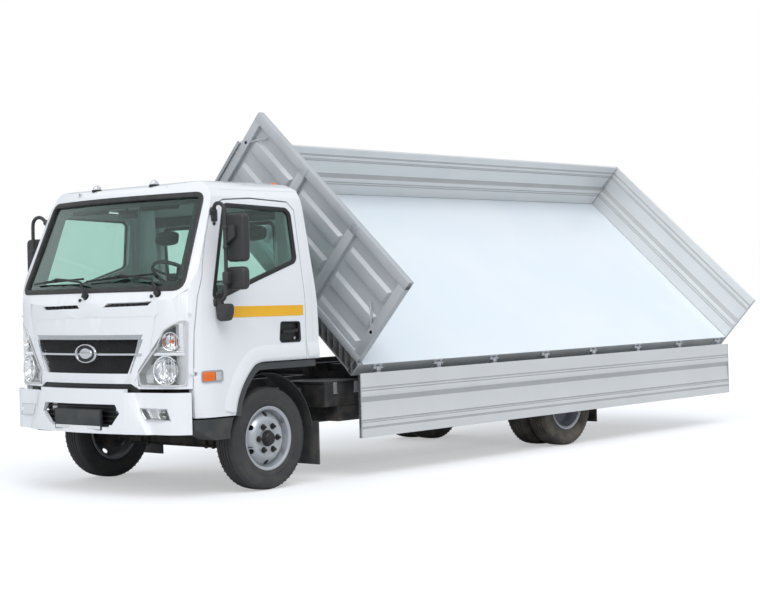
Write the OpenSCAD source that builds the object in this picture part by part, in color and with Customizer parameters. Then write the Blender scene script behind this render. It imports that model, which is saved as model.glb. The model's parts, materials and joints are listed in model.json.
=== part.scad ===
// Three-way tipping dump truck: cab-over chassis, drop-side bed raised on its left pivots.
// +X points forward, +Y to the truck's left, +Z up. The wheels stand on z = 0.

/* [Chassis] */
// Distance between the front and rear axles
wheelbase = 3850; // [3300:50:4600]
// Front axle to the front of the bumper
front_overhang = 1010; // [960:10:1100]
// Height of the frame rails' underside
rail_z = 600; // [590:5:620]
// Height of a frame rail
rail_h = 190; // [150:5:200]
// Distance over the two frame rails
frame_w = 820; // [760:10:860]

/* [Wheels] */
// Tyre radius
tyre_r = 384; // [370:2:392]
// Tyre width
tyre_w = 205; // [180:5:225]
// Radius of the rim's lip
rim_r = 235; // [225:1:245]
// Centre line of a front tyre, from the middle of the truck
front_half_track = 888; // [870:2:900]
// Centre line of an outer rear tyre, from the middle of the truck
rear_half_track = 888; // [870:2:900]
// Distance between the centre lines of twin tyres
twin_pitch = 245; // [235:5:260]

/* [Cab] */
// Width of the cab
cab_w = 2070; // [2000:10:2110]
// Height of the roof
roof_z = 2308; // [2250:5:2400]
// Thickness of the cab's walls and doors
cab_wall = 56; // [40:2:70]
// Gap round a door
door_gap = 9; // [6:1:10]
// Thickness of the window glass
glass_t = 6; // [4:1:8]
// Height of the tilt pivot
cab_pivot_z = 842; // [835:1:850]

/* [Bed] */
// Length of the bed from headboard to tailgate
bed_len = 5690; // [5300:10:6200]
// Width over the closed side boards
bed_w = 2190; // [2150:10:2250]
// Height of the drop boards
board_h = 500; // [350:10:600]
// Thickness of the drop boards
board_t = 25; // [20:1:30]
// Height of the headboard above the floor
headboard_h = 828; // [700:10:1000]
// Height of the floor's top with the bed lowered
floor_z = 1020; // [1010:5:1060]
// Angle of the raised bed
tip_angle = 42.5; // [20:0.5:45]
// Gap between the cab's rear wall and the headboard
cab_bed_gap = 377; // [300:10:450]

/* [Hidden] */
$fn = 48;

// Radial clearance of a pin in its bore
fit = 0.05;
// Gap between seated pieces
seat = 0.3;
// Far enough to cut right through
far = 8000;

// Overall lengths, from the front axle
cab_rear_x = -505;
bed_front_x = cab_rear_x - cab_bed_gap;
bed_rear_x = bed_front_x - bed_len;
hinge_out = 13;
hinge_r = 12;
pin_r = 6;
mirror_y = 1280;
// The frame's origin is under the middle of the truck's box
origin_x = (front_overhang + bed_rear_x - hinge_out - hinge_r) / 2;
pivot_y = 920;
pivot_z = 947;
edge_y = bed_w / 2;
bed_top_z = floor_z + headboard_h;
board_gap = 5;
board_y = edge_y - board_t;
// The headboard stands between the side boards
head_y = board_y - board_gap;
left_y = pivot_y + (head_y - pivot_y) * cos(tip_angle) + (bed_top_z - pivot_z) * sin(tip_angle);
origin_y = (left_y - mirror_y) / 2;

module at_origin() { translate([-origin_x, -origin_y, 0]) children(); }
module mirrored_y() { children(); mirror([0, 1, 0]) children(); }
// A box from its lowest to its highest corner
module block(lo, hi) { translate(lo) cube(hi - lo); }
// A rod of radius r along X, Y or Z from a point
module rod_x(p, len, r) { translate(p) rotate([0, 90, 0]) cylinder(h = len, r = r); }
module rod_y(p, len, r) { translate(p) rotate([-90, 0, 0]) cylinder(h = len, r = r); }
module rod_z(p, len, r) { translate(p) cylinder(h = len, r = r); }
// An outline in X and Z, extruded between two values of Y
module side_prism(points, y0, y1) {
    translate([0, y1, 0]) rotate([90, 0, 0]) linear_extrude(y1 - y0) polygon(points);
}
// An outline in Y and Z, extruded between two values of X
module front_prism(points, x0, x1) {
    translate([x0, 0, 0]) rotate([90, 0, 90]) linear_extrude(x1 - x0) polygon(points);
}
// A closed outline moved inwards by d, where the outline runs anticlockwise
function unit(v) = v / norm(v);
function edge_normal(a, b) = let (e = unit(b - a)) [-e[1], e[0]];
function inset(p, d) = [for (i = [0:len(p) - 1])
    let (a = p[(i + len(p) - 1) % len(p)], b = p[i], c = p[(i + 1) % len(p)],
        m = edge_normal(a, b), n = edge_normal(b, c)) b + d * (m + n) / (1 + m * n)];

// ---- Chassis ----
rail_y = frame_w / 2;
rail_flange = 65;
rail_wall = 8;
rail_top = rail_z + rail_h;
rail_front_x = 800;
rail_rear_x = bed_rear_x + 260;
cab_pivot_x = 800;
ear_y = rail_y - rail_flange - 1;
sub_h = 90;
sub_gap = 2;
sub_top = rail_top + sub_h;

module frame_rails() {
    color([0.12, 0.12, 0.13]) mirrored_y() {
        difference() {
            block([rail_rear_x, rail_y - rail_flange, rail_z], [rail_front_x, rail_y, rail_top]);
            block([rail_rear_x - 1, rail_y - rail_flange - 1, rail_z + rail_wall],
                [rail_front_x + 1, rail_y - rail_wall, rail_top - rail_wall]);
        }
    }
}

// Cross members between the rails: [x, depth along X]
cab_pin_r = 14;
cross_table = [[760, 70], [-650, 60], [-1400, 60], [-2450, 60], [-3330, 80], [-4420, 80], [-5400, 60],
    [rail_rear_x + 60, 60]];
tow_x = rail_rear_x;
tow_bore_r = 20;
module cross_members() {
    color([0.12, 0.12, 0.13]) {
        for (c = cross_table)
            block([c[0] - c[1] / 2, -(rail_y - rail_wall), rail_z + 40],
                [c[0] + c[1] / 2, rail_y - rail_wall, rail_top - 25]);
        // The tow coupling's jaw at the rear and the cab's pivot ears at the front
        difference() {
            block([tow_x - 110, -70, rail_z + 50], [tow_x + 30, 70, rail_z + 130]);
            block([tow_x - 111, -71, rail_z + 72], [tow_x - 40, 71, rail_z + 108]);
            rod_z([tow_x - 75, 0, rail_z + 40], 100, tow_bore_r);
        }
        mirrored_y() difference() {
            union() {
                block([cab_pivot_x - 30, ear_y - 40, rail_z + 60], [cab_pivot_x + 20, ear_y, cab_pivot_z]);
                rod_y([cab_pivot_x, ear_y - 40, cab_pivot_z], 40, 30);
            }
            rod_y([cab_pivot_x, ear_y - 41, cab_pivot_z], 42, cab_pin_r + fit);
        }
    }
}

// Tip pivots: X of the subframe's pivot arms
pivot_arms = [bed_front_x - 420, bed_rear_x + 655];
pivot_r = 20;
arm_w = 70;
module tipper_subframe() {
    color([0.16, 0.16, 0.17]) {
        mirrored_y() block([bed_rear_x + 420, rail_y - 60, rail_top], [bed_front_x - 150, rail_y, sub_top]);
        for (x = pivot_arms) {
            block([x - arm_w / 2, -pivot_y, rail_top + 20], [x + arm_w / 2, pivot_y, sub_top - 12]);
            mirrored_y() {
                block([x - 10, pivot_y - 30, sub_top - 40], [x + 10, pivot_y + 30, pivot_z]);
                rod_x([x - 45, pivot_y, pivot_z], 90, pivot_r);
            }
        }
        // The cylinder's cross beams and trunnion plates
        for (s = [-1, 1]) {
            block([ram_x + s * 190 - 35, -(rail_y - 60), rail_top + 8],
                [ram_x + s * 190 + 35, rail_y - 60, sub_top - 15]);
            difference() {
                block([ram_x + s * 135 - 12, -60, ram_z - 60], [ram_x + s * 135 + 12, 60, rail_top + 60]);
                rod_x([ram_x + s * 135 - 20, 0, ram_z], 40, 22 + fit);
            }
            block([ram_x + s * 151 - 14, -60, rail_top + 8], [ram_x + s * 151 + 14, 60, rail_top + 60]);
        }
    }
}

// ---- Tipping cylinder ----
ram_x = -3010;
ram_z = 690;
ram_ball_r = 34;
// The ball's centre with the bed lowered, and raised with it
ball_flat = [0, 930];
function tipped(p) = [pivot_y + (p[0] - pivot_y) * cos(tip_angle) + (p[1] - pivot_z) * sin(tip_angle),
    pivot_z - (p[0] - pivot_y) * sin(tip_angle) + (p[1] - pivot_z) * cos(tip_angle)];
ball_up = tipped(ball_flat);
ram_closed = ball_flat[1] - ram_z;
ram_open = norm([ball_up[0], ball_up[1] - ram_z]);
ram_lean = atan2(ball_up[0], ball_up[1] - ram_z);
stage_stroke = (ram_open - ram_closed) / 3;
// The lowest point of the closed stages, from the trunnion
stage_base = ram_closed - stage_stroke - 130;
// Outer radius of the barrel and of the stages
ram_radii = [88, 74, 60, 46];
ram_tube_wall = 14;
module ram_frame(out) {
    translate([ram_x, 0, ram_z]) rotate([-ram_lean, 0, 0]) translate([0, 0, out]) children();
}
module tube(z0, z1, r_out, r_in) {
    difference() {
        translate([0, 0, z0]) cylinder(h = z1 - z0, r = r_out);
        translate([0, 0, z0 - 1]) cylinder(h = z1 - z0 + 2, r = r_in);
    }
}
ram_top = ram_closed - ram_ball_r - 42;
module cylinder_barrel() {
    color([0.15, 0.15, 0.16]) ram_frame(0) {
        tube(stage_base - 8, ram_top, ram_radii[0], ram_radii[0] - ram_tube_wall + fit);
        translate([0, 0, stage_base - 24]) cylinder(h = 16, r = ram_radii[0]);
        for (s = [-1, 1]) {
            translate([s * (ram_radii[0] - 6), 0, 0]) rotate([0, s * 90, 0]) cylinder(h = 74, r = 22);
        }
    }
}
module ram_stage(i) {
    color([0.72, 0.73, 0.75]) ram_frame(i * stage_stroke)
        tube(stage_base, ram_top + 6 * i, ram_radii[i] , ram_radii[i] - ram_tube_wall + fit);
}
module cylinder_stage_1() { ram_stage(1); }
module cylinder_stage_2() { ram_stage(2); }
module cylinder_stage_3() {
    color([0.72, 0.73, 0.75]) ram_frame(3 * stage_stroke) {
        translate([0, 0, stage_base]) cylinder(h = ram_top + 18 - stage_base, r = ram_radii[3]);
        translate([0, 0, ram_top]) cylinder(h = ram_closed - ram_top, r = 24);
        translate([0, 0, ram_closed]) sphere(r = ram_ball_r);
    }
}

// ---- Axles, springs and drive ----
kingpin_y = 740;
kingpin_r = 18;
axle_z = tyre_r;
spring_y = rail_y - rail_flange / 2;
module front_axle() {
    color([0.1, 0.1, 0.1]) {
        block([-35, -600, axle_z - 75], [35, 600, axle_z + 5]);
        mirrored_y() difference() {
            union() {
                block([-30, 600, axle_z - 55], [30, kingpin_y, axle_z + 35]);
                rod_z([0, kingpin_y, axle_z - 40], 80, 34);
            }
            rod_z([0, kingpin_y, axle_z - 100], 200, kingpin_r + fit);
            block([-60, kingpin_y - 45, axle_z + 40], [60, kingpin_y + 60, axle_z + 120]);
            block([-60, kingpin_y - 45, axle_z - 120], [60, kingpin_y + 60, axle_z - 40]);
        }
        mirrored_y() block([-60, spring_y - 35, axle_z + 5], [60, spring_y + 35, axle_z + 25]);
    }
}

// Leaf springs: [axle x, half length, height of the seat, leaves]
spring_table = [[0, 620, axle_z + 25, 4], [-wheelbase, 700, axle_z + 75, 7]];
leaf_t = 12;
module leaf_springs() {
    color([0.09, 0.09, 0.1]) for (s = spring_table) {
        rise = rail_z - 45 - s[2] - leaf_t * s[3];
        arc_r = (s[1] * s[1] + rise * rise) / (2 * rise);
        mirrored_y() {
            intersection() {
                difference() {
                    rod_y([s[0], spring_y - 32, s[2] + leaf_t * (s[3] - 1) + arc_r], 64, arc_r);
                    rod_y([s[0], spring_y - 33, s[2] + leaf_t * (s[3] - 1) + arc_r], 66, arc_r - leaf_t);
                }
                block([s[0] - s[1], spring_y - 40, s[2]], [s[0] + s[1], spring_y + 40, rail_z]);
            }
            for (i = [0:s[3] - 2])
                intersection() {
                    difference() {
                        rod_y([s[0], spring_y - 32, s[2] + leaf_t * i + arc_r], 64, arc_r);
                        rod_y([s[0], spring_y - 33, s[2] + leaf_t * i + arc_r], 66, arc_r - leaf_t);
                    }
                    block([s[0] - s[1] * (0.25 + 0.7 * i / s[3]), spring_y - 40, s[2]],
                        [s[0] + s[1] * (0.25 + 0.7 * i / s[3]), spring_y + 40, rail_z]);
                }
            for (e = [-1, 1]) {
                rod_y([s[0] + e * s[1], spring_y - 32, rail_z - 48], 64, 26);
                block([s[0] + e * s[1] - 30, spring_y - 32, rail_z - 40],
                    [s[0] + e * s[1] + 30, spring_y + 32, rail_z]);
            }
        }
    }
}

rear_hub_r = 60;
module rear_axle() {
    color([0.09, 0.09, 0.1]) {
        rod_y([-wheelbase, -500, axle_z], 1000, 62);
        rod_x([-wheelbase - 90, 40, axle_z + 6], 170, 165);
        rod_x([-wheelbase + 60, 40, axle_z + 8], 160, 100);
        rod_x([-wheelbase + 200, 40, axle_z + 10], 100, 62);
        mirrored_y() {
            rod_y([-wheelbase, 500, axle_z], twin_mid - 500, half_shaft_r);
            block([-wheelbase - 65, spring_y - 40, axle_z + 12], [-wheelbase + 65, spring_y + 40, axle_z + 75]);
        }
    }
}
module propeller_shaft() {
    color([0.14, 0.14, 0.15]) {
        rod_x([-wheelbase + 300 + seat, 40, axle_z + 10], wheelbase - 300 - 620 - seat, 38);
        rod_x([-650, 40, axle_z + 10], 30, 62);
        rod_x([-2150, 40, axle_z + 10], 60, 58);
        block([-2150, -20, axle_z + 60], [-2090, 100, rail_z + 40 - seat]);
        block([-2170, -20, rail_z + 20], [-2070, 100, rail_z + 40 - seat]);
    }
}
module engine() {
    color([0.25, 0.25, 0.26]) {
        block([-380, -260, axle_z + 90], [560, 260, 940]);
        block([-620 + seat, -150, axle_z - 60], [-380, 230, 760]);
        mirrored_y() block([60, 260, rail_z + 60], [160, rail_y - rail_wall - seat, rail_z + 130]);
    }
}

module fuel_tank() {
    color([0.1, 0.1, 0.1]) {
        block([-2300, -(rail_y + 420), 380], [-1500, -(rail_y + 60), 720]);
        for (x = [-2150, -1650]) block([x - 25, -(rail_y + 430), 340], [x + 25, -(rail_y + seat), 380]);
        for (x = [-2150, -1650]) block([x - 25, -(rail_y + 60), 380], [x + 25, -(rail_y + seat), 740]);
        rod_z([-1600, -(rail_y + 330), 720], 40, 45);
    }
}
module battery_box() {
    color([0.13, 0.13, 0.13]) {
        block([-1180, rail_y + seat, 560], [-700, 900, 760]);
        block([-1120, 560, 440], [-850, 900, 560]);
        block([-1900, rail_y + seat + 20, 520], [-1400, 640, 700]);
        for (x = [-1830, -1470]) block([x - 20, rail_y + seat, 600], [x + 20, rail_y + 40, 680]);
    }
}
module exhaust() {
    color([0.3, 0.29, 0.28]) {
        rod_x([-1250, -(rail_y + 130), 520], 560, 90);
        rod_x([-690, -(rail_y + 130), 520], 200, 30);
        rod_x([-1400, -(rail_y + 130), 520], 150, 30);
        for (x = [-1180, -760]) block([x - 15, -(rail_y + 150), 600], [x + 15, -(rail_y + seat), 640]);
    }
}

// ---- Bumper and mudguards ----
cab_half = cab_w / 2;
corner_r = 300;
corner_x = 560;
front_r = 2900;
bumper_z0 = 472;
bumper_z1 = 771;
bumper_wall = 34;
bumper_rear_x = 776;
bumper_proud = front_overhang - 955;
// Plan outline of the cab's nose, moved outwards by g
module nose_plan(g) {
    intersection() {
        translate([955 - front_r, 0]) circle(r = front_r + g, $fn = 180);
        union() {
            translate([cab_rear_x - g, -cab_half - g]) square([corner_x - cab_rear_x + g, cab_w + 2 * g]);
            translate([cab_rear_x - g, -cab_half + corner_r]) square([2000, cab_w - 2 * corner_r]);
            for (s = [-1, 1]) translate([corner_x, s * (cab_half - corner_r)]) circle(r = corner_r + g);
        }
    }
}
module front_bumper() {
    color([0.93, 0.94, 0.95]) {
        difference() {
            translate([bumper_proud - 8, 0, bumper_z0]) linear_extrude(bumper_z1 - bumper_z0) nose_plan(8);
            translate([bumper_proud - 8, 0, bumper_z0 - 1]) linear_extrude(bumper_z1 - bumper_z0 + 2)
                nose_plan(8 - bumper_wall);
            block([-far, -far, 0], [bumper_rear_x, far, far]);
            // The lower grille's opening
            front_prism([[-330, 520], [330, 520], [380, 640], [-380, 640]], 800, 1200);
        }
        // Brackets to the frame's ends
        mirrored_y() block([rail_front_x + seat, rail_y - rail_flange, 620], [965, rail_y, 690]);
    }
}

arch_r = 480;
guard_t = 6;
step_z = 420;
liner_y = 965;
// The door's arch line, from the step up and back
arch_top = 958;
arch_line = [[388, 585], [365, 690], [310, 800], [225, 905], [150, arch_top], [-362, arch_top], [-470, arch_top]];
lip_w = 50;
function shifted(line, d) = [for (i = [0:len(line) - 1])
    let (a = line[max(i - 1, 0)], b = line[i], c = line[min(i + 1, len(line) - 1)],
        m = edge_normal(a, i == 0 ? c : b), n = edge_normal(i == len(line) - 1 ? a : b, c)) b + d * (m + n) / (1 + m * n)];
lip_outline = concat(shifted(arch_line, 9), [for (i = [len(arch_line) - 1:-1:0]) shifted(arch_line, 9 + lip_w)[i]]);
module front_mudguards() {
    color([0.2, 0.2, 0.21]) mirrored_y() {
        // The liner over the wheel, from the step round to the flap
        intersection() {
            difference() {
                rod_y([0, 770, axle_z], liner_y - 770, arch_r + guard_t);
                rod_y([0, 769, axle_z], liner_y - 768, arch_r);
            }
            block([-600, 700, axle_z + 40], [600, 1100, axle_z + arch_r + 50]);
        }
        // The step under the door
        difference() {
            block([330, 850, step_z], [bumper_rear_x - 10, cab_half - 5, 572]);
            block([arch_r + 60, 840, step_z + 60], [bumper_rear_x - 60, cab_half - 30, 573]);
            rod_y([0, 800, axle_z], 300, arch_r - 35);
        }
        // The flap behind the wheel, and the arm that carries it
        block([-arch_r - 16, 775, 145], [-arch_r - 2, cab_half - 10, axle_z + 90]);
        block([-arch_r - 60, rail_y + seat, 690], [-arch_r + 40, 800, 720]);
        block([-arch_r - 30, 770, 380], [-arch_r - 2, 800, 720]);
        block([520, rail_y + seat, 640], [580, 860, 670]);
        block([520, 850, 560], [580, 880, 670]);
    }
}
rear_bar_x = rail_rear_x + 90;
module rear_bar() {
    color([0.1, 0.1, 0.11]) {
        rod_y([rear_bar_x, -980, 470], 1960, 45);
        mirrored_y() {
            block([rear_bar_x - 30, rail_y - 60, 470], [rear_bar_x + 30, rail_y - 10, rail_z]);
            // Tail lamp housings and their arms
            block([rear_bar_x - 90, 640, 530], [rear_bar_x - 40, 980, 650]);
            block([rear_bar_x - 60, 700, 500], [rear_bar_x - 20, 760, 560]);
            // Mud flap behind the twin wheels
            block([-wheelbase - 470, 545, 180], [-wheelbase - 460, 985, 690]);
            rod_y([-wheelbase - 465, rail_y + seat, 700], 985 - rail_y - seat, 16);
        }
    }
}

// ---- Cab shell ----
floor_top = 1010;
belt_z = 1480;
// Side view of the cab, anticlockwise from the lower rear corner
cab_side = [[cab_rear_x, 300], [970, 300], [966, 1200], [935, belt_z + 20], [900, 1560], [585, 2245], [530, 2280],
    [430, roof_z - 6], [300, roof_z], [-300, roof_z - 4], [-400, roof_z - 22], [-445, roof_z - 70],
    [-490, 1500], [cab_rear_x, 1200]];
// Half of the front view, from the bottom up the left side
cab_edge = [[cab_half, 500], [cab_half, 1380], [cab_half - 8, belt_z], [cab_half - 90, 2110],
    [cab_half - 108, 2180], [cab_half - 145, 2245], [cab_half - 210, roof_z - 22], [cab_half - 330, roof_z]];
cab_section = concat(cab_edge, [for (i = [len(cab_edge) - 1:-1:0]) [-cab_edge[i][0], cab_edge[i][1]]]);
// Windscreen cylinder: it leans back with the glass
screen_r = 3600;
screen_foot = [912, 1500];
screen_head = [600, 2215];
screen_lean = atan2(screen_foot[0] - screen_head[0], screen_head[1] - screen_foot[1]);
module screen_cylinder(o) {
    translate([screen_foot[0], 0, screen_foot[1]]) rotate([0, -screen_lean, 0])
        translate([-screen_r, 0, -3000]) cylinder(h = 6000, r = screen_r - o, $fn = 180);
}
module cab_shape(o) {
    intersection() {
        side_prism(inset(cab_side, o), -cab_half, cab_half);
        front_prism(inset(cab_section, o), -1000, 1200);
        translate([0, 0, 100]) linear_extrude(3000) nose_plan(-o);
        screen_cylinder(o);
    }
}
module cab_wall_shape() {
    difference() {
        cab_shape(0);
        cab_shape(cab_wall);
    }
}
// Door outline, anticlockwise from its lower front corner
door_outline = concat([[735, 585], [735, 800], [722, 1200], [696, 1450], [620, 1770], [530, 2020], [455, 2112],
    [370, 2150], [90, 2165], [-290, 2145], [-352, 2085], [-362, 1400], [-362, 958]],
    [for (i = [4:-1:0]) arch_line[i]]);
window_outline = [[577, 1423], [372, 2096], [345, 2110], [-262, 2086], [-296, 2055], [-304, 1730], [-285, 1700],
    [114, 1576]];
screen_outline = [[-925, 1530], [-900, 1510], [900, 1510], [925, 1530], [862, 2175], [835, 2200], [-835, 2200],
    [-862, 2175]];
rear_window_outline = [[-620, 1560], [620, 1560], [640, 1580], [640, 1980], [610, 2010], [-610, 2010],
    [-640, 1980], [-640, 1580]];
module door_zone(g) { side_prism(inset(door_outline, -g), 840, 1100); }
rear_split = cab_rear_x + 62;
roof_split = 2232;
front_split = 735;
lamp_rear_x = 772;
// The front panel meets the side frames along the door's front edge
pillar_line = [[front_split, 500], [front_split, 800], [722, 1200], [696, 1450], [620, 1770], [530, 2020],
    [455, 2112], [370, 2150], [370, roof_split], [2000, roof_split], [2000, 500]];
cab_bottom_z = 796;
hinge_x = 733;
hinge_y = 976;
hinge_pin_r = 4;
hinge_levels = [900, 1330];
door_skin = 18;
door_inner_gap = 8;
lamp_outline = [[560, 815], [1050, 815], [1050, 1215], [1050, 1300], [810, 1235], [560, 925]];

module cab_front() {
    color([0.93, 0.94, 0.95]) {
        difference() {
            cab_wall_shape();
            block([-far, -far, -far], [far, far, cab_bottom_z]);
            mirrored_y() difference() {
                block([-far, -1, -far], [far, far, far]);
                side_prism(pillar_line, -2, far);
            }
            front_prism(screen_outline, 400, 1200);
            mirrored_y() front_prism(lamp_outline, lamp_rear_x, 1200);
            front_prism(grille_outline, 800, 1200);
            mirrored_y() door_zone(door_gap);
        }
        // Pivot ears and the beam that carries them
        mirrored_y() {
            rod_y([cab_pivot_x, ear_y - 60, cab_pivot_z], 80, cab_pin_r);
            for (y = [ear_y - 60, ear_y + 6])
                block([cab_pivot_x - 14, y, cab_pivot_z - 16], [cab_pivot_x + 50, y + 14, floor_top - 40 - seat]);
        }
        block([cab_pivot_x + 40, -540, cab_pivot_z + 8], [cab_pivot_x + 105, 540, cab_pivot_z + 53]);
        for (z = hinge_levels) mirrored_y() {
            rod_z([hinge_x, hinge_y, z - 40], 80, hinge_pin_r);
            block([hinge_x, hinge_y - 8, z - 8], [lamp_rear_x - 5, hinge_y, z + 8]);
        }
    }
}
module cab_sides() {
    color([0.93, 0.94, 0.95]) mirrored_y() {
        difference() {
            intersection() {
                cab_wall_shape();
                block([-far, 700, 958], [far, far, roof_split]);
            }
            side_prism(pillar_line, 0, far);
            block([-far, 0, 0], [rear_split, far, far]);
            side_prism(inset(door_outline, -door_gap), 650, 1100);
        }
    }
}
// The trim under the door's arch line, held at the cab's rear corner
module arch_trims() {
    color([0.2, 0.2, 0.21]) mirrored_y() {
        side_prism(lip_outline, liner_y + 6, cab_half - 8);
        block([cab_rear_x + 80, liner_y + 6, arch_top - 40], [cab_rear_x + 110, cab_half - 20, arch_top - seat]);
    }
}
module cab_roof() {
    color([0.93, 0.94, 0.95]) intersection() {
        cab_wall_shape();
        block([-far, -far, roof_split], [far, far, far]);
    }
}
module cab_rear_wall() {
    color([0.9, 0.91, 0.92]) difference() {
        intersection() {
            cab_wall_shape();
            block([-far, -far, 958], [rear_split, far, roof_split]);
        }
        front_prism(rear_window_outline, -700, -300);
    }
}
module cab_floor() {
    color([0.3, 0.3, 0.31]) difference() {
        intersection() {
            cab_shape(cab_wall + seat);
            block([cab_rear_x, -far, floor_top - 40], [far, far, floor_top]);
        }
        mirrored_y() door_zone(door_gap);
    }
}
module pane(outline_o) {
    difference() {
        intersection() {
            cab_shape(14);
            children();
        }
        cab_shape(14 + glass_t);
    }
}
module cab_glass() {
    color([0.5, 0.62, 0.58, 0.5]) {
        pane() front_prism(inset(screen_outline, seat), 300, 1200);
        pane() front_prism(inset(rear_window_outline, seat), -700, -300);
    }
}
module dashboard() {
    color([0.2, 0.21, 0.21]) difference() {
        union() {
            intersection() {
                cab_shape(cab_wall + seat);
                side_prism([[800, floor_top + seat], [840, 1100], [900, 1380], [880, 1450], [560, 1470],
                    [520, 1430], [530, 1330], [640, 1270], [700, floor_top + seat]], -cab_half, cab_half);
            }
            on_column() translate([0, 0, -330]) cylinder(h = 190, r = 42);
        }
        on_column() translate([0, 0, -200]) cylinder(h = 190, r = column_r + fit);
        mirrored_y() door_zone(door_gap);
    }
}
module seats() {
    color([0.22, 0.23, 0.25]) for (s = [[560, 460], [-230, 900]]) {
        y = s[0];
        w = s[1];
        block([-150, y - w / 2 + 30, floor_top + seat], [300, y + w / 2 - 30, 1290]);
        block([-200, y - w / 2, 1290], [330, y + w / 2, 1420]);
        side_prism([[-200, 1420], [-90, 1420], [-200, 2000], [-290, 2000], [-320, 1420]], y - w / 2, y + w / 2);
    }
}
module headlamps() {
    color([0.85, 0.88, 0.9]) mirrored_y() {
        difference() {
            intersection() {
                cab_shape(2);
                front_prism(inset(lamp_outline, seat), lamp_rear_x + seat, 1200);
            }
            cab_shape(cab_wall - 6);
        }
    }
}
grille_outline = [[-470, 905], [470, 905], [610, 1185], [-610, 1185]];
module grille() {
    color([0.1, 0.1, 0.1]) difference() {
        intersection() {
            cab_shape(4);
            front_prism(inset(grille_outline, seat), 800, 1200);
        }
        cab_shape(40);
    }
}

module door(side) {
    mirror([0, side < 0 ? 1 : 0, 0]) color([0.93, 0.94, 0.95]) difference() {
        intersection() {
            cab_wall_shape();
            door_zone(0);
        }
        side_prism(window_outline, 800, 1200);
        // The inner edge is set back, so that it swings clear of the pillar
        difference() {
            cab_shape(door_skin);
            door_zone(-door_inner_gap);
        }
        for (z = hinge_levels) {
            rod_z([hinge_x, hinge_y, z - 42], 84, hinge_pin_r + fit);
            block([hinge_x - 22, 850, z - 13], [800, 1100, z + 13]);
        }
    }
}
module door_glass(side) {
    mirror([0, side < 0 ? 1 : 0, 0]) color([0.5, 0.62, 0.58, 0.5])
        pane() side_prism(inset(window_outline, seat), 800, 1200);
}
// Mirror heads on the arm: [height, width, tall, depth, y, x]
arm_r = 12;
arm_x = 500;
mirror_table = [[1865, 190, 350, 75, 1185, arm_x - 30], [1575, 200, 165, 75, 1175, arm_x - 30],
    [1335, 120, 130, 80, 1100, arm_x + 30]];
arm_y = 1130;
arm_top = 2010;
arm_foot = 1405;
module mirrors(side) {
    mirror([0, side < 0 ? 1 : 0, 0]) color([0.06, 0.06, 0.06]) {
        rod_z([arm_x, arm_y, 1300], arm_top - 1300 + arm_r, arm_r);
        // The arm's feet on the door's skin: [height, y of the skin]
        for (foot = [[arm_foot, cab_half - 1.4], [arm_top, cab_half - 74.6]])
            rod_y([arm_x, foot[1], foot[0]], arm_y - foot[1], arm_r);
        for (m = mirror_table)
            block([m[5] - m[3] / 2, m[4] - m[1] / 2, m[0] - m[2] / 2], [m[5] + m[3] / 2, m[4] + m[1] / 2, m[0] + m[2] / 2]);
    }
}
module left_door() { door(1); }
module right_door() { door(-1); }
module left_door_glass() { door_glass(1); }
module right_door_glass() { door_glass(-1); }
module left_mirrors() { mirrors(1); }
module right_mirrors() { mirrors(-1); }

// ---- Steering ----
wheel_centre = [480, 560, 1590];
column_lean = 35;
column_r = 20;
module on_column() { translate(wheel_centre) rotate([0, -column_lean, 0]) children(); }
module steering_wheel() {
    color([0.08, 0.08, 0.08]) on_column() {
        rotate_extrude() translate([210, 0]) circle(r = 15, $fn = 20);
        translate([0, 0, -30]) cylinder(h = 30, r = 60);
        for (a = [0, 120, 240]) rotate([0, 0, a]) block([40, -18, -18], [205, 18, -6]);
        translate([0, 0, -190]) cylinder(h = 170, r = column_r);
    }
}

spindle_r = 32;
arm_len = 190;
tie_y = kingpin_y;
ball_r = 14;
module knuckle(side) {
    mirror([0, side < 0 ? 1 : 0, 0]) color([0.1, 0.1, 0.1]) difference() {
        union() {
            rod_z([0, kingpin_y, axle_z - 85], 170, kingpin_r);
            for (z = [axle_z + 41, axle_z - 77]) {
                rod_z([0, kingpin_y, z], 36, 34);
                block([-34, kingpin_y, z], [34, kingpin_y + 56, z + 36]);
            }
            block([-45, kingpin_y + 40, axle_z - 77], [45, kingpin_y + 60, axle_z + 77]);
            rod_y([0, kingpin_y + 60, axle_z], front_half_track + 70 - kingpin_y - 60, spindle_r);
            // Steering arm and the ball that the tie rod turns on
            block([-arm_len, tie_y - 22, axle_z - 85], [-30, tie_y + 22, axle_z - 61]);
            block([-60, tie_y - 22, axle_z - 85], [-10, kingpin_y, axle_z - 61]);
        }
        if (side < 0) rod_z([tie_x, tie_y, axle_z - 100], 60, ball_r + 6);
    }
}
tie_x = -arm_len + 25;
tie_z = axle_z - 108;
eye_h = 28;
module left_knuckle() {
    knuckle(1);
    color([0.1, 0.1, 0.1]) rod_z([tie_x, tie_y, tie_z - eye_h / 2 - 6], 60, ball_r);
}
module right_knuckle() { knuckle(-1); }
module tie_rod() {
    color([0.1, 0.1, 0.1]) difference() {
        union() {
            rod_y([tie_x, -tie_y, tie_z], 2 * tie_y, 13);
            for (y = [-tie_y, tie_y]) rod_z([tie_x, y, tie_z - eye_h / 2], eye_h, 32);
            rod_z([tie_x, -tie_y, tie_z], 62, ball_r);
        }
        rod_z([tie_x, tie_y, tie_z - 40], 80, ball_r + fit);
    }
}

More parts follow.
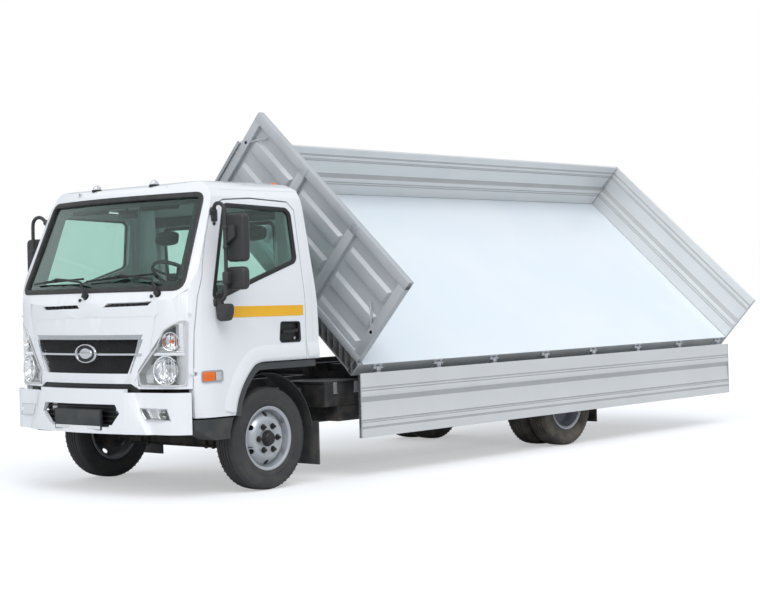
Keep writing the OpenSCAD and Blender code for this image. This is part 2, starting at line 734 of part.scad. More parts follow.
// ---- Wheels ----
bead_w = tyre_w / 2 - 26;
rim_wall = 12;
disc_t = 12;
module tyre(y) {
    w = tyre_w / 2;
    color([0.07, 0.07, 0.07]) translate([0, y, axle_z]) rotate([90, 0, 0]) rotate_extrude($fn = 96)
        polygon([[rim_r - rim_wall, -bead_w], [rim_r + 2, -bead_w], [rim_r + 26, -w + 6], [rim_r + 70, -w],
            [tyre_r - 42, -w + 4], [tyre_r - 14, -w + 14], [tyre_r - 3, -w + 30], [tyre_r, -w + 55],
            [tyre_r, w - 55], [tyre_r - 3, w - 30], [tyre_r - 14, w - 14], [tyre_r - 42, w - 4],
            [rim_r + 70, w], [rim_r + 26, w - 6], [rim_r + 2, bead_w], [rim_r - rim_wall, bead_w]]);
}
// Places its children on a wheel's axis, +Z outwards
module on_wheel(y) { translate([0, y, axle_z]) rotate([y > 0 ? -90 : 90, 0, 0]) children(); }
// A rim and its dished disc: the disc meets the rim at root and is flat round the hub at face
module rim(root, face, bore) {
    r = rim_r - rim_wall - seat;
    w = bead_w + seat;
    color([0.75, 0.76, 0.78]) difference() {
        union() {
            rotate_extrude($fn = 72) polygon([[r - rim_wall, -w - 3], [rim_r, -w - 3], [rim_r, -w],
                [r, -w], [r, w], [rim_r, w], [rim_r, w + 3], [r - rim_wall, w + 3]]);
            rotate_extrude($fn = 72) polygon([[bore, face], [150, face], [r - 6, root], [r - 6, root + disc_t],
                [150, face + disc_t], [bore, face + disc_t]]);
        }
        for (a = [0:45:315]) rotate([0, 0, a + 20]) translate([183, 0, min(face, root) - 5])
            cylinder(h = abs(face - root) + 30, r = 15);
    }
}
front_face = 70;
drum_r = 145;
hub_r = 62;
module front_rim(y) {
    on_wheel(y) {
        rim(20, front_face, spindle_r + fit);
        // Hub, brake drum and hub cap
        color([0.1, 0.1, 0.1]) {
            difference() {
                union() {
                    translate([0, 0, -50]) cylinder(h = 50 + front_face, r = hub_r);
                    translate([0, 0, -82]) cylinder(h = 70, r = drum_r);
                }
                translate([0, 0, -90]) cylinder(h = 100 + front_face, r = spindle_r + fit);
            }
            translate([0, 0, front_face + 4]) cylinder(h = 30, r = hub_r);
        }
    }
}
module front_left_tyre() { tyre(front_half_track); }
module front_right_tyre() { tyre(-front_half_track); }
module front_left_rim() { front_rim(front_half_track); }
module front_right_rim() { front_rim(-front_half_track); }
// Twin wheels: the inner and outer tyre, and both rims bolted together on one hub
twin_mid = rear_half_track - twin_pitch / 2;
half_shaft_r = 40;
module twin_tyres(s) {
    translate([-wheelbase, 0, 0]) for (y = [rear_half_track - twin_pitch, rear_half_track]) tyre(s * y);
}
module twin_rims(s) {
    translate([-wheelbase, 0, 0]) {
        on_wheel(s * rear_half_track) rim(-50, -twin_pitch / 2, half_shaft_r + 10);
        on_wheel(s * (rear_half_track - twin_pitch)) rim(38, twin_pitch / 2 - disc_t, half_shaft_r + 10);
        color([0.1, 0.1, 0.1]) on_wheel(s * twin_mid) difference() {
            union() {
                translate([0, 0, -190]) cylinder(h = 260, r = hub_r);
                translate([0, 0, -170]) cylinder(h = 120, r = drum_r);
            }
            translate([0, 0, -200]) cylinder(h = 205, r = half_shaft_r + fit);
        }
    }
}
module rear_left_tyres() { twin_tyres(1); }
module rear_right_tyres() { twin_tyres(-1); }
module rear_left_rims() { twin_rims(1); }
module rear_right_rims() { twin_rims(-1); }

// ---- Bed ----
// The bed is drawn lowered and then turned about its left pivots
module raised() {
    translate([0, pivot_y, pivot_z]) rotate([-tip_angle, 0, 0]) translate([0, -pivot_y, -pivot_z]) children();
}
sheet_t = 4;
side_rail_h = 118;
rail_in = 7;
headboard_t = 60;
board_over = 15;
hinge_z = floor_z - 30;
board_x0 = bed_rear_x + board_t + board_gap;
board_x1 = bed_front_x + board_over;
side_hinge_count = 8;
side_hinge_x = [for (i = [0:side_hinge_count - 1])
    bed_front_x - 235 - i * (bed_len - 235 - 175) / (side_hinge_count - 1)];
tail_hinge_y = [-810, -270, 270, 810];
eye_w = 40;
ear_w = 14;
bearer_x = [for (i = [0:12]) bed_front_x - 90 - i * (bed_len - 200) / 12];

// Hinge pieces about an axis along X at the origin
module hinge_ears() {
    for (s = [-1, 1]) {
        rod_x([s * (eye_w / 2 + 1 + ear_w / 2) - ear_w / 2, 0, 0], ear_w, hinge_r);
        block([s * (eye_w / 2 + 1 + ear_w / 2) - ear_w / 2, -hinge_out - rail_in - 1, -hinge_r],
            [s * (eye_w / 2 + 1 + ear_w / 2) + ear_w / 2, 0, hinge_r]);
    }
    rod_x([-eye_w / 2 - ear_w, 0, 0], eye_w + 2 * ear_w, pin_r);
}
module hinge_eye() {
    difference() {
        union() {
            rod_x([-eye_w / 2, 0, 0], eye_w, hinge_r);
            block([-eye_w / 2, -hinge_out, 0], [eye_w / 2, -hinge_out + 6, 110]);
            block([-eye_w / 2, -hinge_out, -4], [eye_w / 2, 0, hinge_r]);
        }
        rod_x([-eye_w / 2 - 1, 0, 0], eye_w + 2, pin_r + fit);
    }
}
module bed_floor() {
    color([0.8, 0.85, 0.9]) raised() {
        block([bed_rear_x + rail_in, -edge_y + rail_in, floor_z - sheet_t],
            [bed_front_x, edge_y - rail_in, floor_z]);
        mirrored_y() {
            block([bed_rear_x + rail_in, edge_y - rail_in - 50, floor_z - side_rail_h],
                [bed_front_x, edge_y - rail_in, floor_z - sheet_t]);
            block([bed_rear_x + 57, 300, sub_top + 5], [bed_front_x - 57, 380, floor_z - sheet_t]);
            for (x = side_hinge_x) translate([x, edge_y + hinge_out, hinge_z]) hinge_ears();
        }
        block([bed_rear_x + rail_in, -edge_y + 60, floor_z - 100], [bed_rear_x + 57, edge_y - 60, floor_z - sheet_t]);
        block([bed_front_x - 57, -edge_y + 60, floor_z - 100], [bed_front_x, edge_y - 60, floor_z - sheet_t]);
        for (x = bearer_x) block([x - 30, -edge_y + 60, floor_z - 60], [x + 30, edge_y - 60, floor_z - sheet_t]);
        for (y = tail_hinge_y) translate([bed_rear_x - hinge_out, y, hinge_z]) rotate([0, 0, 90]) hinge_ears();
        // Bearings on the left pivots and open saddles on the right ones
        for (x = pivot_arms) {
            for (s = [-1, 1]) {
                difference() {
                    block([x + s * 30 - 12, pivot_y - 36, pivot_z - 30],
                        [x + s * 30 + 12, pivot_y + 36, floor_z - sheet_t]);
                    rod_x([x - 60, pivot_y, pivot_z], 120, pivot_r + fit);
                }
                difference() {
                    block([x + s * 30 - 12, -pivot_y - 36, pivot_z - 16],
                        [x + s * 30 + 12, -pivot_y + 36, floor_z - sheet_t]);
                    block([x - 60, -pivot_y - 26, pivot_z - 30], [x + 60, -pivot_y + 26, pivot_z + 26]);
                }
            }
        }
        // The pad that rests on the cylinder's ball
        block([ram_x - 70, -70, ball_flat[1] + ram_ball_r + seat], [ram_x + 70, 70, floor_z - sheet_t]);
    }
}
// Upright posts of the headboard: y of each post's middle
post_y = [-head_y + 30, -head_y / 3, head_y / 3, head_y - 30];
rib_z = [for (i = [1:4]) floor_z + i * headboard_h / 5];
module headboard() {
    color([0.6, 0.62, 0.64]) raised() {
        block([bed_front_x - headboard_t, -head_y, floor_z + seat], [bed_front_x - headboard_t + 6, head_y, bed_top_z]);
        block([bed_front_x - headboard_t, -head_y, bed_top_z - 50], [bed_front_x, head_y, bed_top_z]);
        block([bed_front_x - headboard_t, -head_y, floor_z + seat], [bed_front_x, head_y, floor_z + 50]);
        for (y = post_y)
            block([bed_front_x - headboard_t, y - 30, floor_z + seat], [bed_front_x, y + 30, bed_top_z]);
        for (z = rib_z)
            block([bed_front_x - headboard_t, -head_y + 30, z - 25], [bed_front_x - headboard_t + 28, head_y - 30, z + 25]);
    }
}
// A drop board drawn closed, standing on the hinge axis along X at the origin
board_z0 = floor_z + board_gap - hinge_z;
module board(x0, x1) {
    block([x0, -hinge_out - board_t, board_z0], [x1, -hinge_out, board_z0 + board_h]);
}
module side_board_closed() {
    translate([0, edge_y + hinge_out, hinge_z]) {
        board(board_x0, board_x1);
        for (x = side_hinge_x) translate([x, 0, 0]) hinge_eye();
    }
}
// The left board hangs plumb from its hinges
module left_side_board() {
    color([0.82, 0.83, 0.84]) raised() translate([0, edge_y + hinge_out, hinge_z])
        rotate([-(180 - tip_angle), 0, 0]) translate([0, -edge_y - hinge_out, -hinge_z]) side_board_closed();
}
module right_side_board() { color([0.82, 0.83, 0.84]) raised() mirror([0, 1, 0]) side_board_closed(); }
module tailgate() {
    color([0.82, 0.83, 0.84]) raised() translate([bed_rear_x - hinge_out, 0, hinge_z]) rotate([0, 0, 90]) {
        board(-edge_y, edge_y);
        for (y = tail_hinge_y) translate([y, 0, 0]) hinge_eye();
    }
}

at_origin() frame_rails();
at_origin() cross_members();
at_origin() tipper_subframe();
at_origin() front_axle();
at_origin() leaf_springs();
at_origin() rear_axle();
at_origin() propeller_shaft();
at_origin() engine();
at_origin() fuel_tank();
at_origin() battery_box();
at_origin() exhaust();
at_origin() front_bumper();
at_origin() front_mudguards();
at_origin() rear_bar();
at_origin() cab_floor();
at_origin() cab_front();
at_origin() cab_sides();
at_origin() arch_trims();
at_origin() cab_roof();
at_origin() cab_rear_wall();
at_origin() cab_glass();
at_origin() dashboard();
at_origin() seats();
at_origin() headlamps();
at_origin() grille();
at_origin() left_door();
at_origin() left_door_glass();
at_origin() left_mirrors();
at_origin() right_door();
at_origin() right_door_glass();
at_origin() right_mirrors();
at_origin() steering_wheel();
at_origin() left_knuckle();
at_origin() right_knuckle();
at_origin() tie_rod();
at_origin() front_left_tyre();
at_origin() front_left_rim();
at_origin() front_right_tyre();
at_origin() front_right_rim();
at_origin() rear_left_tyres();
at_origin() rear_left_rims();
at_origin() rear_right_tyres();
at_origin() rear_right_rims();
at_origin() cylinder_barrel();
at_origin() cylinder_stage_1();
at_origin() cylinder_stage_2();
at_origin() cylinder_stage_3();
at_origin() bed_floor();
at_origin() headboard();
at_origin() left_side_board();
at_origin() right_side_board();
at_origin() tailgate();
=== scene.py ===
import sys
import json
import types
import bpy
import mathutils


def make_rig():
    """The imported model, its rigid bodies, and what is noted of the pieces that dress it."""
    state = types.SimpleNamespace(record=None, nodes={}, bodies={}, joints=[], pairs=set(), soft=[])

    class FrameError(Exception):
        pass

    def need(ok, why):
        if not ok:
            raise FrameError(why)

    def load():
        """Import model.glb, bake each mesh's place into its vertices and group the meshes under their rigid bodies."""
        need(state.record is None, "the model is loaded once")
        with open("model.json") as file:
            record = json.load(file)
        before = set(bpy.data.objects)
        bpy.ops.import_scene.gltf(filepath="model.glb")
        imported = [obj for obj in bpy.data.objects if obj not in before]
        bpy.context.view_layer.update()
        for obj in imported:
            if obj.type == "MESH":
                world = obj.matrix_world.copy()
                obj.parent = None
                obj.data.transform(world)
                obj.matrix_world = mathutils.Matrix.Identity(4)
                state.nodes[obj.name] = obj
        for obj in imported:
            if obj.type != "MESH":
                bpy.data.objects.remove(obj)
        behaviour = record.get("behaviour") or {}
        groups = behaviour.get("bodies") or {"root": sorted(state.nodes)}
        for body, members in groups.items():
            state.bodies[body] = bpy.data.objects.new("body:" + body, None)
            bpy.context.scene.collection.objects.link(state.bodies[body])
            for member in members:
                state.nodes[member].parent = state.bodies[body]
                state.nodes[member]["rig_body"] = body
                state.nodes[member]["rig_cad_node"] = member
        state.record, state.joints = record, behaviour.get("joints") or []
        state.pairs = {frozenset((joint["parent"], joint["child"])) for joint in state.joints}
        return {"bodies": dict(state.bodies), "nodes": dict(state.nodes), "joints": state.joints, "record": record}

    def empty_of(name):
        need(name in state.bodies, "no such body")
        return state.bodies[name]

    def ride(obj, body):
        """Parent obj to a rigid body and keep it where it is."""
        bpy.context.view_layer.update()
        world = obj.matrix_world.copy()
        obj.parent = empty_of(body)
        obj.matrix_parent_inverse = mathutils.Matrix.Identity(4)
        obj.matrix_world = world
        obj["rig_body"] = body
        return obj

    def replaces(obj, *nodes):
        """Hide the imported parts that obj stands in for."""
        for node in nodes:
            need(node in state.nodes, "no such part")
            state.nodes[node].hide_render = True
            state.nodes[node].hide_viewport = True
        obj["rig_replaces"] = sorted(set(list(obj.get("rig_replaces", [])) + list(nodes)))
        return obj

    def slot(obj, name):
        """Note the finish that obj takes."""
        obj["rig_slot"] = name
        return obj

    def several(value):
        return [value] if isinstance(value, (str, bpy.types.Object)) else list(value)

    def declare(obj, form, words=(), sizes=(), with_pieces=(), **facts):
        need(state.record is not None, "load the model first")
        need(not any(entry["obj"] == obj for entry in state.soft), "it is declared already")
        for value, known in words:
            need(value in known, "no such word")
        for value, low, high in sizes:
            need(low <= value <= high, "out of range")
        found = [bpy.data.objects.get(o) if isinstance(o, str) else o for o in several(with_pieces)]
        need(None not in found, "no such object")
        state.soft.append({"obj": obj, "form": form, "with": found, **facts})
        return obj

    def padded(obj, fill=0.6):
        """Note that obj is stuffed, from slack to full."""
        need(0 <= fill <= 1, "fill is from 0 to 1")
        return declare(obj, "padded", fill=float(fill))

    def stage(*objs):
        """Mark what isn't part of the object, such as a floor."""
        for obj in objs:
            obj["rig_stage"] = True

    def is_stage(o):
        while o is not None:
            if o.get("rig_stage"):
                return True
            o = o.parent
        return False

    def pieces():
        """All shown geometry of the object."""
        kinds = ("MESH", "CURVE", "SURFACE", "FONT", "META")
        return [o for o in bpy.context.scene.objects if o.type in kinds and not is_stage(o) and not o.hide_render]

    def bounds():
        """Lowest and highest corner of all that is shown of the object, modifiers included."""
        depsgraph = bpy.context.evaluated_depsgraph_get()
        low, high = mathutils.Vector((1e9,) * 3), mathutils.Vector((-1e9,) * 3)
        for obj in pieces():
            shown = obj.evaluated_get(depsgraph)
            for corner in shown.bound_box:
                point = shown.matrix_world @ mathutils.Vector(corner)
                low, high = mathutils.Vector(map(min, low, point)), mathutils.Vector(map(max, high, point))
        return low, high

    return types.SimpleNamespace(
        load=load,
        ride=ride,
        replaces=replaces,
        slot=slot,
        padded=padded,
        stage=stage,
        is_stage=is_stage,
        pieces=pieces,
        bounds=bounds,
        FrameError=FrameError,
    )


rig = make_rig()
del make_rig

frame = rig.load()

import json
import math

import bmesh
import bpy
from mathutils import Matrix, Vector

bl_info = {
    "name": "Three-way tipping truck",
    "version": (1, 0, 0),
    "blender": (4, 5, 0),
    "location": "View3D > Sidebar > Truck",
    "description": "Builds the visible pieces, finishes and stage of a three-way tipping truck on its packed frame",
    "category": "Object",
}

CAD_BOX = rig.bounds()
SIZE_FILE = "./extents.json"
JOINTS = {j["name"]: j for j in frame["record"]["behaviour"]["joints"]}


def joint_place(name):
    return Vector(JOINTS[name]["pos_m"])


# Pieces are drawn in truck metres: from the front axle, the middle of the track and the ground
STEER_LEFT, STEER_RIGHT = joint_place("steer_left"), joint_place("steer_right")
AXLE_X = STEER_LEFT.x
MIDDLE_Y = (STEER_LEFT.y + STEER_RIGHT.y) / 2
AXLE_Z = STEER_LEFT.z
PLACE = Matrix.Translation((AXLE_X, MIDDLE_Y, 0))
REAR_AXLE_X = joint_place("rear_left_spin").x - AXLE_X
HALF_TRACK = joint_place("front_left_spin").y - MIDDLE_Y
TWIN_PITCH = 0.245

# The bed is drawn lowered and then turned about its left pivots
TIP_ANGLE = math.radians(-JOINTS["bed_tip"]["range_deg"][0])
PIVOT = joint_place("bed_tip") - Vector((AXLE_X, MIDDLE_Y, 0))


def turned_about(point, angle, axis):
    shift = Matrix.Translation(point)
    return shift @ Matrix.Rotation(angle, 4, axis) @ shift.inverted()


TIPPED = turned_about(PIVOT, -TIP_ANGLE, "X")
BED_FRONT, BED_REAR = -0.882, -6.572
BED_EDGE, BED_FLOOR, BED_TOP = 1.095, 1.020, 1.848
BOARD_HINGE_Y, BOARD_HINGE_Z = BED_EDGE + 0.013, 0.990
BOARD_T, BOARD_Z0, BOARD_Z1 = 0.025, 1.025, 1.525
HUNG = TIPPED @ turned_about(Vector((0, BOARD_HINGE_Y, BOARD_HINGE_Z)), -(math.pi - TIP_ANGLE), "X")

# Outside of the cab: the nose in plan, and the side and front edges
CAB_HALF, CORNER_X, CORNER_R, NOSE_R, NOSE_X = 1.035, 0.560, 0.300, 2.900, 0.955
CORNER_Y = CAB_HALF - CORNER_R
FRONT_PROFILE = ((0.3, 0.970), (1.2, 0.966), (1.5, 0.935), (1.56, 0.9), (2.245, 0.585), (2.28, 0.53), (2.302, 0.43), (2.308, 0.3))
SIDE_PROFILE = ((0.3, 1.035), (1.38, 1.035), (1.48, 1.027), (2.11, 0.945), (2.18, 0.927), (2.245, 0.89), (2.286, 0.825), (2.308, 0.705))
REAR_PROFILE = ((0.3, -0.505), (1.2, -0.505), (1.5, -0.490), (2.238, -0.445), (2.286, -0.400), (2.304, -0.300))
SCREEN_FOOT, SCREEN_SLOPE, SCREEN_R = (0.912, 1.5), 0.4364, 3.6
SCREEN_TILT = math.cos(math.atan(SCREEN_SLOPE))


def along(table, value):
    """The second column of a table at a value of its first."""
    for (a, fa), (b, fb) in zip(table, table[1:]):
        if value <= b:
            share = min(max((value - a) / (b - a), 0), 1)
            return fa + (fb - fa) * share
    return table[-1][1]


def nose_x(y, out=0.0):
    """The nose's reach at y, moved outwards."""
    y = abs(y)
    if y > CORNER_Y:
        return CORNER_X + math.sqrt(max((CORNER_R + out) ** 2 - (y - CORNER_Y) ** 2, 0))
    return NOSE_X - NOSE_R + math.sqrt((NOSE_R + out) ** 2 - y * y)


def front_x(y, z):
    screen = SCREEN_FOOT[0] - (z - SCREEN_FOOT[1]) * SCREEN_SLOPE
    screen -= (SCREEN_R - math.sqrt(SCREEN_R ** 2 - y * y)) / SCREEN_TILT
    return min(nose_x(y), along(FRONT_PROFILE, z), screen)


def side_y(x, z):
    y = along(SIDE_PROFILE, z)
    if x > CORNER_X:
        y = min(y, CORNER_Y + math.sqrt(max(CORNER_R ** 2 - (x - CORNER_X) ** 2, 0)))
    return y


def on_front(y, z, out=0.0):
    """A point on the cab's front, out along its normal."""
    d = 0.004
    slope_y = (front_x(y + d, z) - front_x(y - d, z)) / (2 * d)
    slope_z = (front_x(y, z + d) - front_x(y, z - d)) / (2 * d)
    return Vector((front_x(y, z), y, z)) + Vector((1, -slope_y, -slope_z)).normalized() * out


def on_side(x, z, out=0.0):
    """A point on the cab's left side, out along its normal."""
    d = 0.004
    slope_x = (side_y(x + d, z) - side_y(x - d, z)) / (2 * d)
    slope_z = (side_y(x, z + d) - side_y(x, z - d)) / (2 * d)
    return Vector((x, side_y(x, z), z)) + Vector((-slope_x, 1, -slope_z)).normalized() * out


def on_rear(y, z, out=0.0):
    return Vector((along(REAR_PROFILE, z) - out, y, z))


def on_bumper(y, z, out=0.0):
    """A point on the bumper's outer face."""
    return Vector((nose_x(y, 0.008 + out) + 0.047, y, z))


# ---- Outlines ----


def rounded(points, radius, steps=5):
    """A closed outline with each corner rounded."""
    out = []
    count = len(points)
    for i in range(count):
        a, b, c = (Vector(points[(i + k) % count]) for k in (-1, 0, 1))
        before, after = (a - b), (c - b)
        half = before.angle(after) / 2
        reach = min(radius / math.tan(half), before.length * 0.45, after.length * 0.45)
        start, end = b + before.normalized() * reach, b + after.normalized() * reach
        for k in range(steps + 1):
            t = k / steps
            out.append((1 - t) ** 2 * start + 2 * t * (1 - t) * b + t * t * end)
    return out


def spaced(points, step, closed=True):
    """An outline with its long edges divided."""
    out = []
    pairs = list(zip(points, points[1:] + points[:1])) if closed else list(zip(points, points[1:]))
    for a, b in pairs:
        a, b = Vector(a), Vector(b)
        parts = max(1, math.ceil((b - a).length / step))
        out += [a.lerp(b, k / parts) for k in range(parts)]
    return out if closed else out + [Vector(points[-1])]


def shifted(points, d, closed=True):
    """An outline moved to its left by d."""
    out = []
    count = len(points)
    for i in range(count):
        a = Vector(points[i - 1] if closed or i else points[0])
        b = Vector(points[i])
        c = Vector(points[(i + 1) % count] if closed or i < count - 1 else points[i])
        m, n = (b - a), (c - b)
        if m.length < 1e-9:
            m = n
        if n.length < 1e-9:
            n = m
        m, n = Vector((-m.y, m.x)).normalized(), Vector((-n.y, n.x)).normalized()
        out.append(b + (m + n) * d / max(1 + m.dot(n), 0.4))
    return out


# ---- Mesh building ----


def since(bm, old):
    return [v for v in bm.verts if v not in old]


def faces_of(verts):
    return list({f for v in verts for f in v.link_faces})


def edges_of(verts):
    return list({e for v in verts for e in v.link_edges})


def paint(verts, index):
    for face in faces_of(verts):
        face.material_index = index


def soften(bm, verts, width, segments=2, sharp=0.5):
    """Bevels the edges of some vertices that turn more than an angle."""
    edges = [e for e in edges_of(verts) if len(e.link_faces) == 2 and e.calc_face_angle(0) > sharp]
    if edges and width > 0:
        bmesh.ops.bevel(bm, geom=edges, offset=width, segments=segments, affect="EDGES", profile=0.5,
                        material=-1, clamp_overlap=True)


def add_block(bm, lo, hi, bevel=0.0, mat=0, segments=2):
    old = set(bm.verts)
    verts = bmesh.ops.create_cube(bm, size=1.0)["verts"]
    lo, hi = Vector(lo), Vector(hi)
    bmesh.ops.scale(bm, vec=hi - lo, verts=verts)
    bmesh.ops.translate(bm, vec=(hi + lo) / 2, verts=verts)
    soften(bm, verts, bevel, segments)
    made = since(bm, old)
    paint(made, mat)
    return made


def add_rod(bm, a, b, radius, mat=0, segments=24, bevel=0.0, end_radius=None):
    old = set(bm.verts)
    a, b = Vector(a), Vector(b)
    turn = (b - a).to_track_quat("Z", "Y").to_matrix().to_4x4()
    made = bmesh.ops.create_cone(bm, cap_ends=True, segments=segments, radius1=radius,
                                 radius2=radius if end_radius is None else end_radius, depth=(b - a).length,
                                 matrix=Matrix.Translation((a + b) / 2) @ turn)["verts"]
    soften(bm, made, bevel, 2, 1.0)
    made = since(bm, old)
    paint(made, mat)
    return made


def add_prism(bm, outline, depth, mat=0, bevel=0.0, segments=2):
    """An outline of 3D points, extruded along a vector."""
    old = set(bm.verts)
    face = bm.faces.new([bm.verts.new(p) for p in outline])
    made = bmesh.ops.extrude_face_region(bm, geom=[face])["geom"]
    bmesh.ops.translate(bm, vec=depth, verts=[g for g in made if isinstance(g, bmesh.types.BMVert)])
    soften(bm, since(bm, old), bevel, segments)
    made = since(bm, old)
    bmesh.ops.recalc_face_normals(bm, faces=faces_of(made))
    paint(made, mat)
    return made


def add_turned(bm, profile, place=None, mat=0, steps=48, closed=False):
    """A profile of (radius, height) turned round an axis: Z, or the place's Z."""
    old = set(bm.verts)
    verts = [bm.verts.new((r, 0, h)) for r, h in profile]
    pairs = list(zip(verts, verts[1:])) + ([(verts[-1], verts[0])] if closed else [])
    edges = [bm.edges.new(pair) for pair in pairs]
    bmesh.ops.spin(bm, geom=verts + edges, cent=(0, 0, 0), axis=(0, 0, 1), angle=2 * math.pi, steps=steps,
                   use_merge=True)
    bmesh.ops.remove_doubles(bm, verts=since(bm, old), dist=1e-6)
    made = since(bm, old)
    if place:
        bmesh.ops.transform(bm, matrix=place, verts=made)
    bmesh.ops.recalc_face_normals(bm, faces=faces_of(made))
    paint(made, mat)
    return made


def add_band(bm, outline, section, surface, closed=True, mat=0, caps=True):
    """A closed section of (offset, height) carried along an outline on a surface."""
    old = set(bm.verts)
    loops = []
    for offset, height in section:
        verts = [bm.verts.new(surface(p.x, p.y, height)) for p in shifted(outline, offset, closed)]
        pairs = list(zip(verts, verts[1:])) + ([(verts[-1], verts[0])] if closed else [])
        loops.append(([bm.edges.new(pair) for pair in pairs], verts))
    for k, (edges, verts) in enumerate(loops):
        bmesh.ops.bridge_loops(bm, edges=edges + loops[(k + 1) % len(loops)][0])
    if not closed and caps:
        for end in (0, -1):
            bm.faces.new([verts[end] for _, verts in loops])
    made = since(bm, old)
    bmesh.ops.recalc_face_normals(bm, faces=faces_of(made))
    paint(made, mat)
    return made


def add_plate(bm, outline, surface, low, high, step=0.05, mat=0, bevel=0.0):
    """A plate between two heights over a surface, cut from a grid so that it follows the surface."""
    old = set(bm.verts)
    us, vs = [p[0] for p in outline], [p[1] for p in outline]
    face = bm.faces.new([bm.verts.new((p[0], p[1], 0)) for p in outline])
    geom = [face, *face.edges, *face.verts]
    for axis, values in ((0, us), (1, vs)):
        count = max(1, round((max(values) - min(values)) / step))
        for k in range(1, count):
            at = [0, 0, 0]
            at[axis] = min(values) + (max(values) - min(values)) * k / count
            normal = [0, 0, 0]
            normal[axis] = 1
            flat = since(bm, old)
            geom = flat + edges_of(flat) + faces_of(flat)
            bmesh.ops.bisect_plane(bm, geom=geom, plane_co=at, plane_no=normal)
    flat = since(bm, old)
    made = bmesh.ops.extrude_face_region(bm, geom=faces_of(flat))["geom"]
    upper = {g for g in made if isinstance(g, bmesh.types.BMVert)}
    for v in since(bm, old):
        v.co = surface(v.co.x, v.co.y, high if v in upper else low)
    soften(bm, since(bm, old), bevel, 2, 0.8)
    made = since(bm, old)
    bmesh.ops.recalc_face_normals(bm, faces=faces_of(made))
    paint(made, mat)
    return made


def add_bolt(bm, at, direction, size=0.012, height=0.01, mat=0):
    at, direction = Vector(at), Vector(direction).normalized()
    return add_rod(bm, at, at + direction * height, size, mat, 6, size * 0.15)


def add_tube(bm, points, radius, mat=0, closed=False, sides=10, smooth=True):
    """A round tube through points, turned smoothly at its bends."""
    curve = bpy.data.curves.new("path", "CURVE")
    curve.dimensions = "3D"
    curve.bevel_depth, curve.bevel_resolution, curve.use_fill_caps = radius, max(1, sides // 4), True
    spline = curve.splines.new("NURBS" if smooth else "POLY")
    spline.points.add(len(points) - 1)
    for slot, p in zip(spline.points, points):
        slot.co = (*p, 1)
    spline.use_cyclic_u = closed
    if smooth:
        spline.order_u, spline.use_endpoint_u, spline.resolution_u = 3, True, 5
    carrier = bpy.data.objects.new("path", curve)
    mesh = carrier.to_mesh()
    old = set(bm.verts)
    bm.from_mesh(mesh)
    carrier.to_mesh_clear()
    bpy.data.objects.remove(carrier)
    bpy.data.curves.remove(curve)
    made = since(bm, old)
    bmesh.ops.remove_doubles(bm, verts=made, dist=1e-6)
    made = since(bm, old)
    bmesh.ops.recalc_face_normals(bm, faces=faces_of(made))
    paint(made, mat)
    return made


def mirrored(bm, verts):
    """Adds the same shape on the truck's other side."""
    old = set(bm.verts)
    bmesh.ops.duplicate(bm, geom=list(verts) + edges_of(verts) + faces_of(verts))
    made = since(bm, old)
    bmesh.ops.scale(bm, vec=(1, -1, 1), verts=made)
    bmesh.ops.reverse_faces(bm, faces=faces_of(made))
    return made


def flip_side(bm, side):
    if side < 0:
        bmesh.ops.scale(bm, vec=(1, -1, 1), verts=bm.verts)
        bmesh.ops.reverse_faces(bm, faces=bm.faces)


def add_cad(bm, node, mat=0):
    """A copy of a CAD node's mesh, merged, in truck metres."""
    old = set(bm.verts)
    bm.from_mesh(frame["nodes"][node].data)
    made = since(bm, old)
    bmesh.ops.transform(bm, matrix=PLACE.inverted(), verts=made)
    bmesh.ops.remove_doubles(bm, verts=made, dist=2e-5)
    made = since(bm, old)
    bmesh.ops.dissolve_limit(bm, angle_limit=math.radians(0.6), verts=made, edges=edges_of(made))
    made = since(bm, old)
    paint(made, mat)
    return made


def finished(bm, name, body, materials, place=None, angle=38.0, replaces=(), slot=None, bevel=0.0):
    """Makes a bmesh in truck metres a finished piece that rides on a body."""
    bm.transform(PLACE @ place if place else PLACE)
    mesh = bpy.data.meshes.new(name)
    for face in bm.faces:
        face.smooth = True
    bm.to_mesh(mesh)
    bm.free()
    for key in materials:
        mesh.materials.append(material(key))
    mesh.set_sharp_from_angle(angle=math.radians(angle))
    piece = bpy.data.objects.new(name, mesh)
    bpy.context.scene.collection.objects.link(piece)
    if bevel:
        edge = piece.modifiers.new("soft_edges", "BEVEL")
        edge.width, edge.segments, edge.limit_method = bevel, 2, "ANGLE"
        edge.angle_limit, edge.harden_normals = math.radians(42), True
    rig.ride(piece, body)
    if replaces:
        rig.replaces(piece, *replaces)
    if slot:
        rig.slot(piece, slot)
    return piece


def cut_by(bm, cutters, operation="DIFFERENCE"):
    """The bmesh with each cutter taken from it, or added to it."""
    solid = bpy.data.objects.new("cut_solid", bpy.data.meshes.new("cut_solid"))
    bm.to_mesh(solid.data)
    bm.free()
    bpy.context.scene.collection.objects.link(solid)
    tools = []
    for cutter in cutters:
        bmesh.ops.recalc_face_normals(cutter, faces=cutter.faces)
        tool = bpy.data.objects.new("cut_tool", bpy.data.meshes.new("cut_tool"))
        cutter.to_mesh(tool.data)
        cutter.free()
        bpy.context.scene.collection.objects.link(tool)
        step = solid.modifiers.new("cut", "BOOLEAN")
        step.object, step.operation, step.solver = tool, operation, "EXACT"
        tools.append(tool)
    bpy.context.view_layer.update()
    done = bmesh.new()
    done.from_mesh(solid.evaluated_get(bpy.context.evaluated_depsgraph_get()).data)
    for obj in [solid, *tools]:
        bpy.data.objects.remove(obj)
    bmesh.ops.remove_doubles(done, verts=done.verts, dist=1e-5)
    bmesh.ops.dissolve_limit(done, angle_limit=math.radians(0.4), verts=done.verts, edges=done.edges)
    return done


# ---- Finishes ----


